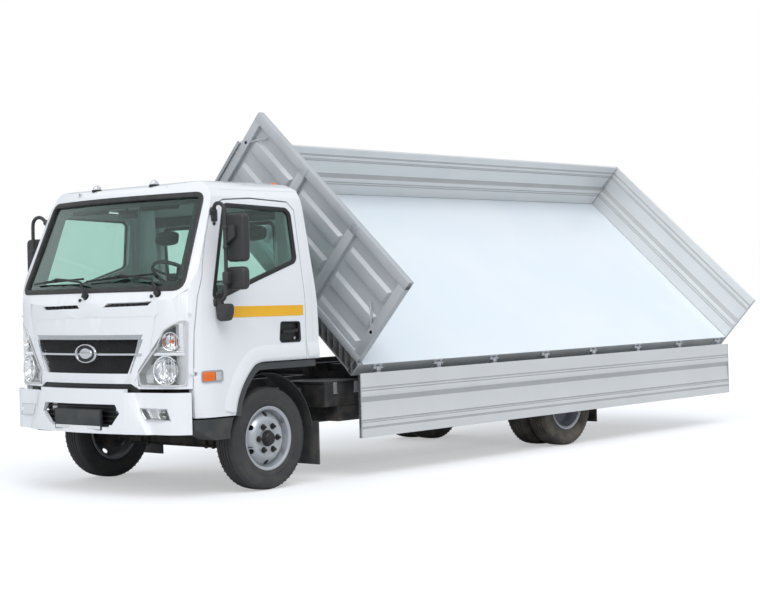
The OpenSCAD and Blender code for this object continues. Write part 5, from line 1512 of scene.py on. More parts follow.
class TRUCK_OT_bed(bpy.types.Operator):
    """Makes the bed's glossy floor sheet, side rails, bearers and hinge ears"""

    bl_idname = "truck.bed"
    bl_label = "Bed"

    def execute(self, context):
        bm = bmesh.new()
        add_block(bm, (BED_REAR + 0.004, -BED_EDGE + 0.003, BED_FLOOR - 0.0005), (HEAD_BACK - 0.001, BED_EDGE - 0.003, BED_FLOOR + 0.0008),
                  0.0003, 0, 1)
        finished(bm, "bed_floor_sheet", "bed", ["bed_paint"], TIPPED, slot="bed_steel")
        bm = bmesh.new()
        add_cad(bm, "bed_floor", 0)
        finished(bm, "bed_underframe", "bed", ["side_rail_grey"], replaces=["bed_floor"], slot="grey_steel")
        # Folded side rails with a lip, and the galvanised hinge ears on them
        rails = bmesh.new()
        ears = bmesh.new()
        for side in (1, -1):
            section = ((1.052, 0.9055), (1.0925, 0.9055), (1.0945, 0.9075), (1.0945, 1.0165), (1.0925, 1.0185), (1.052, 1.0185),
                       (1.052, 1.0150), (1.0895, 1.0150), (1.0905, 1.0140), (1.0905, 0.9100), (1.0895, 0.9090), (1.052, 0.9090))
            add_prism(rails, [Vector((BED_REAR + 0.003, side * y, z)) for y, z in section], Vector((5.685, 0, 0)), 0)
            for x in SIDE_HINGES:
                for s in (-1, 1):
                    mid = x + s * 0.0345
                    add_rod(ears, (mid - 0.010, side * BOARD_HINGE_Y, BOARD_HINGE_Z), (mid + 0.010, side * BOARD_HINGE_Y, BOARD_HINGE_Z),
                            0.0119, 0, 20, 0.002)
                    lo, hi = sorted((side * 1.0945, side * 1.106))
                    add_block(ears, (mid - 0.010, lo, BOARD_HINGE_Z - 0.0115), (mid + 0.010, hi, BOARD_HINGE_Z + 0.0118), 0.003)
                    # Arm that comes down the rail's face, with its bolt
                    add_block(ears, (mid - 0.012, min(side * 1.0935, side * 1.0985), 0.925), (mid + 0.012, max(side * 1.0935, side * 1.0985), 1.0195),
                              0.002)
                    add_bolt(ears, (mid, side * 1.0985, 0.945), (0, side, 0), 0.008, 0.005)
                add_block(ears, (x - 0.055, min(side * 1.0875, side * 1.0949), 1.004), (x + 0.055, max(side * 1.0875, side * 1.0949), 1.0215), 0.003)
                add_rod(ears, (x - 0.058, side * BOARD_HINGE_Y, BOARD_HINGE_Z), (x + 0.058, side * BOARD_HINGE_Y, BOARD_HINGE_Z), 0.007, 0, 16, 0.001)
        finished(rails, "bed_side_rails", "bed", ["side_rail_grey"], TIPPED, slot="grey_steel", bevel=0.0015)
        finished(ears, "bed_hinge_ears", "bed", ["galvanised"], TIPPED, slot="grey_steel")
        return {"FINISHED"}


class TRUCK_OT_headboard(bpy.types.Operator):
    """Makes the headboard: frame, capped posts, pressed ribs and latches"""

    bl_idname = "truck.headboard"
    bl_label = "Headboard"

    def execute(self, context):
        settings = context.scene.truck_bed
        low, top, edge = BED_FLOOR + 0.003, BED_TOP, HEAD_Y
        border, front, back = settings.headboard_border, BED_FRONT, HEAD_BACK
        bm = bmesh.new()
        # Outer frame
        add_block(bm, (back, -edge, top - border), (front, edge, top), 0.004, 0)
        add_block(bm, (back, -edge, low), (front, edge, low + 0.055), 0.003, 0)
        for side in (-1, 1):
            lo, hi = sorted((side * edge, side * (edge - border)))
            add_block(bm, (back + 0.0005, lo, low + 0.0005), (front - 0.0005, hi, top - 0.0005), 0.003, 0)
        for y in POST_Y:
            add_block(bm, (back + 0.001, y - 0.042, low + 0.001), (front - 0.001, y + 0.042, top - border + 0.003), 0.006, 0)
            section = ((y - 0.046, top - border - 0.012), (y + 0.046, top - border - 0.012), (y + 0.046, top - 0.0015), (y - 0.046, top - 0.0015))
            add_prism(bm, [Vector((front - 0.002, p, q)) for p, q in section], Vector((0.005, 0, 0)), 1, 0.0012)
        # Panel with ribs pressed forwards between the posts
        edges_y = [-edge + border, *[p for y in POST_Y for p in (y - 0.042, y + 0.042)], edge - border]
        sheet_x, rib = back + 0.024, 0.024
        add_block(bm, (back + 0.001, -edge + 0.01, low + 0.01), (sheet_x, edge - 0.01, top - 0.01), 0.0, 0)
        for y0, y1 in zip(edges_y[::2], edges_y[1::2]):
            y0, y1 = y0 + 0.022, y1 - 0.022
            for z1, z0 in HEAD_RIBS:
                foot = [Vector((sheet_x - 0.002, y, z)) for y, z in ((y0, z0), (y1, z0), (y1, z1 + 0.022), (y0, z1 + 0.022))]
                face = [Vector((sheet_x + rib, y, z)) for y, z in
                        ((y0 + 0.022, z0 + 0.006), (y1 - 0.022, z0 + 0.006), (y1 - 0.022, z1 - 0.008), (y0 + 0.022, z1 - 0.008))]
                old = set(bm.verts)
                loops = []
                for ring in (foot, face):
                    verts = [bm.verts.new(p) for p in ring]
                    loops.append([bm.edges.new((verts[k], verts[(k + 1) % 4])) for k in range(4)])
                    bm.faces.new(verts)
                bmesh.ops.bridge_loops(bm, edges=loops[0] + loops[1])
                made = since(bm, old)
                soften(bm, made, 0.005, 2, 0.3)
                made = since(bm, old)
                bmesh.ops.recalc_face_normals(bm, faces=faces_of(made))
                paint(made, 0)
        # Lower lip that laps over the floor's front
        add_block(bm, (BED_FRONT - 0.0015, -1.0945, 0.9065), (BED_FRONT, 1.0945, 1.0215), 0.0006, 0)
        finished(bm, "headboard_skin", "bed", ["bed_grey", "galvanised"], TIPPED, replaces=["headboard"], slot="grey_steel", angle=28)
        bm = bmesh.new()
        # Over-centre latch with its lever near the left end, and its twin near the right end
        for side, z in ((1, 1.30), (-1, 1.565)):
            y = side * (edge - 0.045)
            add_block(bm, (front - 0.012, min(y - 0.02, y + 0.02), z - 0.032), (front - 0.002, max(y - 0.02, y + 0.02), z + 0.032), 0.003)
            add_rod(bm, (front - 0.020, y, z), (front - 0.0005, y, z), 0.017, 0, 20, 0.003)
            add_rod(bm, (front - 0.016, y + side * 0.006, z - 0.052), (front - 0.002, y + side * 0.006, z - 0.052), 0.012, 0, 16, 0.002)
            add_tube(bm, [(front - 0.009, y, z), (front - 0.010, y - side * 0.03, z - 0.03), (front - 0.012, y + side * 0.006, z - 0.052)], 0.006)
            bend = [(front - 0.008, y, z), (front - 0.009, y - side * 0.035, z + 0.03), (front - 0.010, y - side * 0.085, z + 0.10),
                    (front - 0.010, y - side * 0.15, z + 0.158)]
            add_tube(bm, bend, 0.0068)
            add_rod(bm, bend[-1], Vector(bend[-1]) + Vector((0, -side * 0.012, 0.008)), 0.0085, 0, 14, 0.002)
        finished(bm, "headboard_latches", "bed", ["galvanised"], TIPPED, slot="grey_steel")
        return {"FINISHED"}


class TRUCK_OT_drop_boards(bpy.types.Operator):
    """Makes the two side boards and the tailgate from one rolled section"""

    bl_idname = "truck.drop_boards"
    bl_label = "Drop boards"

    def execute(self, context):
        x0, x1 = BED_REAR + BOARD_T + 0.005, BED_FRONT + 0.015
        # The fourth finish is the darker aluminium painted as shade in the boards' grooves and undercut slope
        finishes = ["aluminium", "satin_silver", "galvanised", "dull_aluminium"]
        for side, name in ((1, "left"), (-1, "right")):
            bm = board_piece(x0, x1, (x1,))
            for x in SIDE_HINGES:
                add_eye(bm, x)
            bmesh.ops.translate(bm, vec=(0, BOARD_HINGE_Y, BOARD_HINGE_Z), verts=bm.verts)
            flip_side(bm, side)
            finished(bm, name + "_board_panel", name + "_board", finishes, HUNG if side > 0 else TIPPED,
                     replaces=[name + "_side_board"], slot="board_aluminium", angle=6)
        bm = board_piece(-BED_EDGE, BED_EDGE, ())
        for y in TAIL_HINGES:
            add_eye(bm, y)
        turn = Matrix.Translation((BED_REAR - 0.013, 0, BOARD_HINGE_Z)) @ Matrix.Rotation(math.pi / 2, 4, "Z")
        bmesh.ops.transform(bm, matrix=turn, verts=bm.verts)
        finished(bm, "tailgate_panel", "tailgate", ["tail_aluminium", "satin_silver", "galvanised", "dull_aluminium"], TIPPED, replaces=["tailgate"],
                 slot="board_aluminium", angle=6)
        return {"FINISHED"}


# ---- Inside the cab ----
WHEEL_CENTRE, COLUMN_LEAN = Vector((0.480, 0.560, 1.590)), math.radians(35)


def add_cushion(bm, lo, hi, crown, pinch, mat=0):
    """A stuffed block: crowned faces, rounded edges, and sides that pull in between its corners."""
    old = set(bm.verts)
    lo, hi = Vector(lo), Vector(hi)
    verts = bmesh.ops.create_cube(bm, size=2.0)["verts"]
    bmesh.ops.subdivide_edges(bm, edges=edges_of(verts), cuts=9, use_grid_fill=True)
    made = since(bm, old)
    half, centre = (hi - lo) / 2, (hi + lo) / 2
    for v in made:
        p = v.co.copy()
        power = 7.0
        scale = max(abs(c) for c in p) / max(sum(abs(c) ** power for c in p) ** (1 / power), 1e-6)
        p *= scale
        q = Vector([p[i] * (half[i] - crown) for i in range(3)])
        for i in range(3):
            j, k = (i + 1) % 3, (i + 2) % 3
            bulge = (1 - p[j] ** 2) * (1 - p[k] ** 2)
            q[i] += p[i] * crown * max(bulge, 0) ** 0.5
            q[i] *= 1 - pinch * (1 - abs(p[j])) * abs(p[k]) ** 6
        v.co = centre + q
    paint(made, mat)
    return made


class TRUCK_OT_seats(bpy.types.Operator):
    """Makes the three padded seats and their plinths"""

    bl_idname = "truck.seats"
    bl_label = "Seats"

    def execute(self, context):
        bm = bmesh.new()
        for y, wide in ((0.560, 0.40), (-0.230, 0.84)):
            add_block(bm, (-0.15, y - wide / 2, 1.013), (0.30, y + wide / 2, 1.285), 0.02)
            for s in (-1, 1):
                add_block(bm, (-0.19, y + s * wide / 2 - 0.012, 1.225), (0.26, y + s * wide / 2 + 0.022, 1.262), 0.01)
        finished(bm, "seat_plinths", "cab", ["black_plastic"], replaces=["seats"], slot="grey_plastic")
        lean = math.atan2(-0.11, 0.58)
        for title, y, wide in (("driver", 0.560, 0.455), ("middle", -0.005, 0.40), ("passenger", -0.445, 0.455)):
            bm = bmesh.new()
            add_cushion(bm, (-0.185, y - wide / 2, 1.292), (0.325, y + wide / 2, 1.418), 0.022, 0.03)
            seat = bm
            piping = [Vector((x, y + s * (wide / 2 - 0.028), 1.412)) for x, s in ((-0.14, 1), (0.28, 1), (0.28, -1), (-0.14, -1))]
            add_tube(seat, piping, 0.0035, closed=True, sides=8)
            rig.padded(finished(seat, title + "_seat_cushion", "cab", ["seat_cloth"], slot="seat_cloth", angle=70), fill=0.8)
            bm = bmesh.new()
            top = 0.575 if title != "middle" else 0.46
            add_cushion(bm, (-0.055, -wide / 2, 0.0), (0.055, wide / 2, top * 0.78), 0.022, 0.03)
            add_cushion(bm, (-0.045, -0.13, top * 0.79), (0.040, 0.13, top), 0.018, 0.03)
            place = Matrix.Translation((-0.205, y, 1.424)) @ Matrix.Rotation(lean, 4, "Y")
            bmesh.ops.transform(bm, matrix=place, verts=bm.verts)
            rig.padded(finished(bm, title + "_seat_back", "cab", ["seat_cloth"], slot="seat_cloth", angle=70), fill=0.8)
        return {"FINISHED"}


class TRUCK_OT_cab_inside(bpy.types.Operator):
    """Makes the steering wheel, dashboard fittings, linings, visors and the rear window's rubber"""

    bl_idname = "truck.cab_inside"
    bl_label = "Cab inside"

    def execute(self, context):
        column = Matrix.Translation(WHEEL_CENTRE) @ Matrix.Rotation(-COLUMN_LEAN, 4, "Y")
        bm = bmesh.new()
        ring = [(0.210 + 0.0148 * math.cos(a) * 0.9, 0.0148 * math.sin(a)) for a in [2 * math.pi * k / 16 for k in range(16)]]
        add_turned(bm, ring, None, 0, 64, True)
        pad = rounded(((-0.062, -0.070), (0.062, -0.070), (0.075, 0.030), (0.040, 0.062), (-0.040, 0.062), (-0.075, 0.030)), 0.03, 4)
        add_prism(bm, [Vector((-p.y, p.x, -0.030)) for p in pad], Vector((0, 0, 0.028)), 0, 0.008, 3)
        for a in (20, 160, 225, 315):
            turn = Matrix.Rotation(math.radians(a + 90), 4, "Z")
            spoke = add_block(bm, (0.045, -0.016, -0.018), (0.203, 0.016, -0.006), 0.004)
            bmesh.ops.transform(bm, matrix=turn, verts=spoke)
        add_rod(bm, (0, 0, -0.19), (0, 0, -0.028), 0.0198, 0, 28, 0.002)
        bmesh.ops.transform(bm, matrix=column, verts=bm.verts)
        finished(bm, "steering_wheel_rim", "hand_wheel", ["black_plastic"], replaces=["steering_wheel"], slot="black_plastic")
        bm = bmesh.new()
        # Instrument hood, centre stack, vents, shelf edge and gear lever
        hood = [(0.62, 1.455), (0.80, 1.455), (0.79, 1.475), (0.72, 1.508), (0.63, 1.500)]
        add_prism(bm, [Vector((x, 0.40, z)) for x, z in hood], Vector((0, 0.33, 0)), 0, 0.012, 3)
        add_block(bm, (0.528, -0.19, 1.13), (0.560, 0.19, 1.425), 0.012)
        add_block(bm, (0.522, -0.10, 1.31), (0.532, 0.10, 1.40), 0.006, 1)
        for y in (-0.145, 0.145, -0.80, 0.85):
            add_block(bm, (0.520, y - 0.045, 1.345), (0.535, y + 0.045, 1.405), 0.006, 1)
        add_tube(bm, [(0.535, 0.06, 1.26), (0.46, 0.07, 1.32), (0.44, 0.07, 1.40)], 0.009)
        add_rod(bm, (0.44, 0.07, 1.385), (0.438, 0.07, 1.45), 0.020, 1, 20, 0.009, 0.024)
        finished(bm, "dashboard_fittings", "cab", ["dash_grey", "black_plastic"], slot="grey_plastic")
        bm = bmesh.new()
        # Head lining, rear wall lining and sun visors
        add_block(bm, (-0.36, -0.74, 2.236), (0.40, 0.74, 2.246), 0.004, 0)
        add_block(bm, (-0.444, -0.86, 1.06), (-0.434, 0.86, 1.535), 0.004, 1)
        add_block(bm, (-0.425, -0.78, 2.03), (-0.405, 0.78, 2.11), 0.004, 1)
        for s in (-1, 1):
            visor = add_block(bm, (-0.006, s * 0.40 - 0.22, -0.075), (0.006, s * 0.40 + 0.22, 0.075), 0.005, 2)
            place = Matrix.Translation((0.485, 0, 2.165)) @ Matrix.Rotation(math.radians(-32), 4, "Y")
            bmesh.ops.transform(bm, matrix=place, verts=visor)
        add_block(bm, (0.47, -0.11, 2.06), (0.482, 0.11, 2.12), 0.005, 3)
        add_rod(bm, (0.478, 0, 2.11), (0.515, 0, 2.205), 0.006, 3, 14)
        finished(bm, "cab_linings", "cab", ["roof_lining", "cab_lining", "grey_plastic", "black_plastic"], slot="grey_plastic")
        bm = bmesh.new()
        ring = spaced(rounded(REAR_WINDOW, 0.05, 5), 0.1)
        add_band(bm, ring, ((-0.022, -0.010), (-0.022, 0.003), (-0.016, 0.007), (0.006, 0.007), (0.014, 0.0), (0.014, -0.022), (-0.006, -0.022)),
                 on_rear)
        finished(bm, "rear_window_rubber", "cab", ["seal_rubber"], slot="black_plastic", angle=50)
        bm = bmesh.new()
        # Roof lamps: clear ones over the windscreen, orange ones at the rear corners
        for x, y, z, mat in ((0.50, 0.336, 2.287, 1), (0.50, -0.336, 2.287, 1), (-0.40, 0.70, 2.281, 2), (-0.40, -0.70, 2.281, 2)):
            tall = 0.036 if mat == 1 else 0.024
            place = Matrix.Translation((x, y, z)) @ Matrix.Diagonal((1.25, 0.85, 1, 1))
            add_turned(bm, ((0.0, -0.006), (0.037, -0.006), (0.037, 0.007), (0.033, 0.010), (0.0, 0.010)), place, 0, 32)
            dome = [(0.030 * math.cos(a), 0.010 + tall * math.sin(a)) for a in [math.pi / 2 * k / 8 for k in range(9)]]
            add_turned(bm, ((0.0, 0.009), (0.030, 0.009), *dome[:-1], (0.0, 0.010 + tall)), place, mat, 32)
        finished(bm, "roof_lamps", "cab", ["black_plastic", "lamp_silver", "marker_orange"], slot="lamp_glass")
        return {"FINISHED"}


# ---- Chassis details ----
RAIL_Y, RAIL_Z0, RAIL_Z1, SUB_Z1 = 0.410, 0.600, 0.790, 0.880
RAIL_REAR = BED_REAR + 0.260


class TRUCK_OT_chassis_details(bpy.types.Operator):
    """Makes bolts, straps, lamps and lines on the chassis"""

    bl_idname = "truck.chassis_details"
    bl_label = "Chassis details"

    def execute(self, context):
        # Mudguards, their steps cut back under the bumper's corners
        bm = bmesh.new()
        add_cad(bm, "front_mudguards")
        cutters = []
        for s in (-1, 1):
            wedge = bmesh.new()
            corner = ((0.56, 0.40), (0.60, 0.423), (0.80, 0.520), (0.80, 0.40))
            add_prism(wedge, [Vector((x, s * 0.80, z)) for x, z in corner], Vector((0, s * 0.30, 0)))
            cutters.append(wedge)
        finished(cut_by(bm, cutters), "mudguard_skins", "chassis", ["grey_plastic"], replaces=["front_mudguards"], slot="grey_plastic",
                 bevel=0.004, angle=30)
        bm = bmesh.new()
        for k in range(34):
            x = 0.70 - k * 0.205
            for z in (0.640, 0.750):
                add_bolt(bm, (x, RAIL_Y, z), (0, 1, 0), 0.011, 0.009)
        for x in (-1.15, -2.0, -3.0, -4.7, -5.6):
            # Plates that tie the subframe to the rails
            add_block(bm, (x - 0.06, RAIL_Y, 0.69), (x + 0.06, RAIL_Y + 0.008, 0.870), 0.003)
            for dx in (-0.035, 0.035):
                for z in (0.72, 0.84):
                    add_bolt(bm, (x + dx, RAIL_Y + 0.008, z), (0, 1, 0), 0.010, 0.010)
        mirrored(bm, list(bm.verts))
        # Brake and fuel lines along the left rail
        for z, r in ((0.665, 0.006), (0.683, 0.0045), (0.699, 0.0045)):
            add_tube(bm, [(0.6, RAIL_Y + 0.009, z), (-2.5, RAIL_Y + 0.009, z), (-3.2, RAIL_Y + 0.009, z), (-6.2, RAIL_Y + 0.009, z)], r, 1)
        finished(bm, "frame_bolts_and_lines", "chassis", ["frame_black", "black_plastic"], slot="frame_black")
        bm = bmesh.new()
        # U-bolts over the springs, with their nuts, top bars and clamp plates
        for axle_x, top, low in ((0.0, 0.46, AXLE_Z - 0.085), (REAR_AXLE_X, 0.585, AXLE_Z - 0.075)):
            for dx in (-0.045, 0.045):
                for dy in (-0.040, 0.040):
                    y = 0.3775 + dy
                    add_rod(bm, (axle_x + dx, y, low), (axle_x + dx, y, top), 0.008, 0, 14)
                    add_bolt(bm, (axle_x + dx, y, low), (0, 0, -1), 0.014, 0.014)
                add_rod(bm, (axle_x + dx, 0.3375, top), (axle_x + dx, 0.4175, top), 0.008, 0, 14, 0.002)
            add_block(bm, (axle_x - 0.065, 0.325, low - 0.002), (axle_x + 0.065, 0.43, low + 0.012), 0.004)
        mirrored(bm, list(bm.verts))
        finished(bm, "spring_clamps", "chassis", ["cast_dark"], slot="cast_dark")
        bm = bmesh.new()
        # Fuel tank with rounded edges, bands, cap and bracket feet
        add_block(bm, (-2.30, -0.83, 0.381), (-1.50, -0.471, 0.719), 0.045, 0, 5)
        for x in (-2.15, -1.65):
            outline = [(-0.833, 0.378), (-0.833, 0.722), (-0.468, 0.722), (-0.468, 0.378)]
            ring = rounded(outline, 0.055, 5)
            add_band(bm, ring, ((-0.001, -0.022), (-0.001, 0.022), (-0.0045, 0.022), (-0.0045, -0.022)),
                     lambda y, z, h, x=x: Vector((x + h, y, z)), True, 1)
            add_block(bm, (x - 0.025, -0.84, 0.340), (x + 0.025, -0.412, 0.3775), 0.005, 2)
            add_block(bm, (x - 0.025, -0.467, 0.381), (x + 0.025, -0.412, 0.740), 0.005, 2)
        add_rod(bm, (-1.60, -0.74, 0.715), (-1.60, -0.74, 0.748), 0.036, 2, 32, 0.004)
        add_rod(bm, (-1.60, -0.74, 0.742), (-1.60, -0.74, 0.764), 0.044, 2, 32, 0.006)
        add_block(bm, (-1.636, -0.747, 0.762), (-1.564, -0.733, 0.7695), 0.003, 2)
        finished(bm, "fuel_tank_shell", "chassis", ["frame_black", "galvanised", "black_plastic"], replaces=["fuel_tank"], slot="tank_black")
        bm = bmesh.new()
        # Battery box with its lid, the tool box under it and the air tank
        add_block(bm, (-1.178, RAIL_Y + 0.004, 0.561), (-0.702, 0.899, 0.742), 0.012, 0)
        add_block(bm, (-1.180, RAIL_Y + 0.002, 0.738), (-0.700, 0.900, 0.760), 0.008, 0)
        for x in (-1.06, -0.82):
            add_block(bm, (x - 0.02, 0.8965, 0.66), (x + 0.02, 0.9045, 0.75), 0.003, 1)
            add_rod(bm, (x - 0.024, 0.902, 0.665), (x + 0.024, 0.902, 0.665), 0.006, 1, 14, 0.001)
        for k in range(4):
            add_block(bm, (-1.13 + k * 0.105, 0.898, 0.585), (-1.065 + k * 0.105, 0.902, 0.635), 0.0015, 0)
        add_block(bm, (-1.120, 0.560, 0.441), (-0.850, 0.899, 0.5605), 0.010, 0)
        for y, z in ((0.555, 0.612),):
            add_rod(bm, (-1.895, y, z), (-1.405, y, z), 0.083, 0, 40, 0.022)
        for x in (-1.83, -1.47):
            add_band(bm, [Vector((0.555 + 0.0835 * math.cos(a), 0.612 + 0.0835 * math.sin(a))) for a in [2 * math.pi * k / 32 for k in range(32)]],
                     ((0.001, -0.015), (0.001, 0.015), (-0.0025, 0.015), (-0.0025, -0.015)), lambda y, z, h, x=x: Vector((x + h, y, z)), True, 1)
            add_block(bm, (x - 0.02, RAIL_Y + 0.002, 0.60), (x + 0.02, 0.478, 0.680), 0.004, 0)
        for x in (-1.90, -1.40):
            add_rod(bm, (x, 0.555, 0.612), (x + (0.006 if x < -1.5 else -0.006), 0.555, 0.612), 0.018, 1, 20)
        finished(bm, "battery_box_and_air_tank", "chassis", ["frame_black", "galvanised"], replaces=["battery_box"], slot="tank_black")
        bm = bmesh.new()
        # Tail lamps: red, orange and clear cells, and a blank plate between them
        x = RAIL_REAR
        for s in (-1, 1):
            lo, hi = sorted((s * 0.642, s * 0.978))
            add_block(bm, (x + 0.001, lo, 0.532), (x + 0.049, hi, 0.648), 0.008, 0)
            for k, mat in enumerate((1, 2, 3)):
                a, b = s * (0.660 + 0.105 * k), s * (0.660 + 0.105 * k + 0.096)
                add_block(bm, (x - 0.0005, min(a, b), 0.545), (x + 0.012, max(a, b), 0.635), 0.006, mat, 3)
        add_block(bm, (x + 0.03, -0.26, 0.545), (x + 0.034, 0.26, 0.655), 0.0015, 4)
        add_block(bm, (x + 0.034, -0.22, 0.50), (x + 0.042, 0.22, 0.60), 0.002, 0)
        finished(bm, "tail_lamps", "chassis", ["black_plastic", "lamp_red", "marker_orange", "plate_white", "plate_white"], slot="black_plastic")
        return {"FINISHED"}


class TRUCK_OT_cylinder_rings(bpy.types.Operator):
    """Makes the gland rings of the tipping cylinder"""

    bl_idname = "truck.cylinder_rings"
    bl_label = "Cylinder rings"

    def execute(self, context):
        slides = [JOINTS[name] for name in JOINTS if name.startswith("stage")]
        foot = joint_place("barrel_swing") - Vector((AXLE_X, MIDDLE_Y, 0))
        axis = Vector(slides[0]["axis"]).normalized()
        if axis.z < 0:
            axis = -axis
        turn = Matrix.Translation(foot) @ axis.to_track_quat("Z", "Y").to_matrix().to_4x4()
        bm = bmesh.new()
        for z0, z1, r in ((0.120, 0.1625, 0.0915), (-0.125, -0.112, 0.0905)):
            add_turned(bm, ((0.0881, z0), (r, z0 + 0.002), (r, z1 - 0.002), (0.0881, z1)), turn, 0, 56, True)
        for s in (-1, 1):
            add_rod(bm, turn @ Vector((s * 0.085, 0, 0)), turn @ Vector((s * 0.104, 0, 0)), 0.034, 0, 32, 0.004)
        finished(bm, "cylinder_gland", "barrel", ["cast_dark"], slot="frame_black")
        return {"FINISHED"}


# ---- Stage ----
CAMERA_AT = Vector((8.6957, 9.7336, 1.4567))
CAMERA_TURN = (-137.87, 0.62, -1.53)
CAMERA_LENS, CAMERA_SHIFT = 78.45, (0.0348, -0.0281)


class TRUCK_OT_stage(bpy.types.Operator):
    """Makes the floor, the soft studio light and the camera"""

    bl_idname = "truck.stage"
    bl_label = "Stage"

    def execute(self, context):
        scene = context.scene
        scene.view_settings.view_transform = "Standard"
        bm = bmesh.new()
        bmesh.ops.create_grid(bm, x_segments=1, y_segments=1, size=90)
        mesh = bpy.data.meshes.new("floor")
        bm.to_mesh(mesh)
        bm.free()
        floor = bpy.data.objects.new("floor", mesh)
        scene.collection.objects.link(floor)
        made = bpy.data.materials.new("studio_floor")
        made.use_nodes = True
        nodes, links = made.node_tree.nodes, made.node_tree.links
        shader = nodes["Principled BSDF"]
        shader.inputs["Base Color"].default_value = (0.62, 0.63, 0.65, 1)
        shader.inputs["Roughness"].default_value = 0.9
        shader.inputs["Specular IOR Level"].default_value = 0.0
        path = nodes.new("ShaderNodeLightPath")
        seen = math_node(nodes, links, "MAXIMUM", path.outputs["Is Camera Ray"], path.outputs["Is Transmission Ray"])
        shader.inputs["Emission Color"].default_value = (1, 1, 1, 1)
        links.new(math_node(nodes, links, "MULTIPLY", seen, context.scene.truck_stage.floor_glow),
                  shader.inputs["Emission Strength"])
        mesh.materials.append(made)
        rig.stage(floor)
        self.light(scene)
        self.camera(scene)
        return {"FINISHED"}

    def light(self, scene):
        world = bpy.data.worlds.new("studio")
        scene.world = world
        world.use_nodes = True
        nodes, links = world.node_tree.nodes, world.node_tree.links
        background = nodes["Background"]
        path = nodes.new("ShaderNodeLightPath")
        seen = math_node(nodes, links, "MAXIMUM", path.outputs["Is Camera Ray"], path.outputs["Is Transmission Ray"])
        up = nodes.new("ShaderNodeSeparateXYZ")
        links.new(nodes.new("ShaderNodeTexCoord").outputs["Generated"], up.inputs[0])
        sky = ramp(nodes, links, up.outputs["Z"], -0.15, 0.5, 0.45, scene.truck_stage.sky_strength)
        strength = nodes.new("ShaderNodeMix")
        strength.data_type = "FLOAT"
        links.new(seen, strength.inputs[0])
        links.new(sky, strength.inputs[2])
        strength.inputs[3].default_value = 1.0
        tint = mix_colour(nodes, links, seen, (0.90, 0.95, 1.0, 1), (1, 1, 1, 1))
        links.new(tint, background.inputs["Color"])
        links.new(strength.outputs[0], background.inputs["Strength"])
        for name, energy, turn, angle in (("key_light", scene.truck_stage.key_strength, (38, 0, 150), 35),
                                          ("front_light", scene.truck_stage.front_strength, (62, 0, 100), 40)):
            lamp = bpy.data.lights.new(name, "SUN")
            lamp.energy, lamp.angle = energy, math.radians(angle)
            sun = bpy.data.objects.new(name, lamp)
            sun.rotation_euler = [math.radians(v) for v in turn]
            scene.collection.objects.link(sun)

    def camera(self, scene):
        yaw, pitch, roll = (math.radians(v) for v in CAMERA_TURN)
        ahead = Vector((math.cos(pitch) * math.cos(yaw), math.cos(pitch) * math.sin(yaw), math.sin(pitch)))
        right = Vector((math.sin(yaw), -math.cos(yaw), 0))
        up = right.cross(ahead)
        right_turned = right * math.cos(roll) + up * math.sin(roll)
        up_turned = up * math.cos(roll) - right * math.sin(roll)
        turn = Matrix((right_turned, up_turned, -ahead)).transposed().to_4x4()
        lens = bpy.data.cameras.new("camera")
        lens.lens, lens.sensor_width = CAMERA_LENS, 36.0
        lens.shift_x, lens.shift_y = CAMERA_SHIFT
        lens.clip_end = 300
        eye = bpy.data.objects.new("camera", lens)
        eye.matrix_world = Matrix.Translation(PLACE @ CAMERA_AT) @ turn
        scene.collection.objects.link(eye)
        scene.camera = eye


def colour_choice(key, label, words):
    return bpy.props.FloatVectorProperty(name=label, description=words, default=FINISHES[key][0], subtype="COLOR", min=0, max=1)


class TruckCab(bpy.types.PropertyGroup):
    paint: colour_choice("white_paint", "Cab paint", "Paint of the cab, doors and bumper")
    stripe: colour_choice("stripe_yellow", "Stripe", "Colour of the stripe along the doors")
    trim: colour_choice("trim_grey", "Arch trim", "Colour of the trim under the wheel arches")


class TruckBed(bpy.types.PropertyGroup):
    headboard_border: bpy.props.FloatProperty(
        name="Headboard border", description="Width of the headboard's frame", default=0.078, min=0.05, max=0.12, unit="LENGTH")
    floor_paint: colour_choice("bed_paint", "Floor", "Glossy paint of the bed's floor")
    headboard_paint: colour_choice("bed_grey", "Headboard", "Paint of the headboard")
    rail_paint: colour_choice("side_rail_grey", "Side rails", "Paint of the side rails and bearers")
    boards: colour_choice("aluminium", "Drop boards", "Metal of the side boards and tailgate")


class TruckWheels(bpy.types.PropertyGroup):
    groove_depth: bpy.props.FloatProperty(
        name="Groove depth", description="Depth of the grooves round the tyres", default=0.009, min=0.002, max=0.014, unit="LENGTH")
    tread_ribs: bpy.props.IntProperty(name="Tread ribs", description="Ribs round each tyre", default=5, min=3, max=8)
    rims: colour_choice("wheel_silver", "Rims", "Paint of the rims")


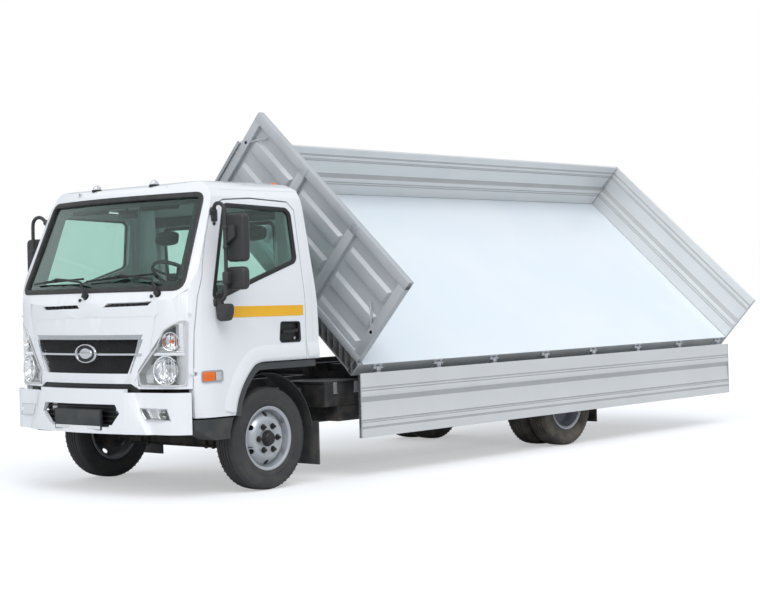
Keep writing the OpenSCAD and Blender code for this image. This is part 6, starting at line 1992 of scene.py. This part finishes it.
class TruckStage(bpy.types.PropertyGroup):
    sky_strength: bpy.props.FloatProperty(
        name="Sky", description="Strength of the soft light from above", default=0.75, min=0, max=2)
    key_strength: bpy.props.FloatProperty(
        name="Key", description="Strength of the main light", default=1.2, min=0, max=5)
    front_strength: bpy.props.FloatProperty(
        name="Front", description="Strength of the light on the nose", default=0.6, min=0, max=5)
    floor_glow: bpy.props.FloatProperty(
        name="Floor", description="How far the floor is lifted towards white", default=0.42, min=0, max=1)


class TRUCK_PT_panel(bpy.types.Panel):
    """Lists the truck's operators"""

    bl_label = "Truck"
    bl_idname = "TRUCK_PT_panel"
    bl_space_type = "VIEW_3D"
    bl_region_type = "UI"
    bl_category = "Truck"

    def draw(self, context):
        column = self.layout.column()
        for group in [getattr(context.scene, key) for key, _ in PROPERTY_GROUPS]:
            for key in group.__annotations__:
                column.prop(group, key)
        for operator in OPERATORS:
            column.operator(operator.bl_idname)


OPERATORS = tuple(c for c in list(globals().values())
                  if isinstance(c, type) and issubclass(c, bpy.types.Operator) and c.__name__.startswith("TRUCK_OT"))
PROPERTY_GROUPS = (("truck_cab", TruckCab), ("truck_bed", TruckBed), ("truck_wheels", TruckWheels), ("truck_stage", TruckStage))


def register():
    for key, group in PROPERTY_GROUPS:
        bpy.utils.register_class(group)
        setattr(bpy.types.Scene, key, bpy.props.PointerProperty(type=group))
    for operator in OPERATORS:
        bpy.utils.register_class(operator)
    bpy.utils.register_class(TRUCK_PT_panel)


def unregister():
    bpy.utils.unregister_class(TRUCK_PT_panel)
    for operator in reversed(OPERATORS):
        bpy.utils.unregister_class(operator)
    for key, group in reversed(PROPERTY_GROUPS):
        delattr(bpy.types.Scene, key)
        bpy.utils.unregister_class(group)


def main():
    register()
    for operator in OPERATORS:
        call = operator.bl_idname.split(".")[1]
        getattr(bpy.ops.truck, call)()
    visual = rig.bounds()
    boxes = {"cad": [list(v) for v in CAD_BOX], "visual": [list(v) for v in visual]}
    with open(SIZE_FILE, "w") as out:
        json.dump(boxes, out)


if __name__ == "__main__":
    main()
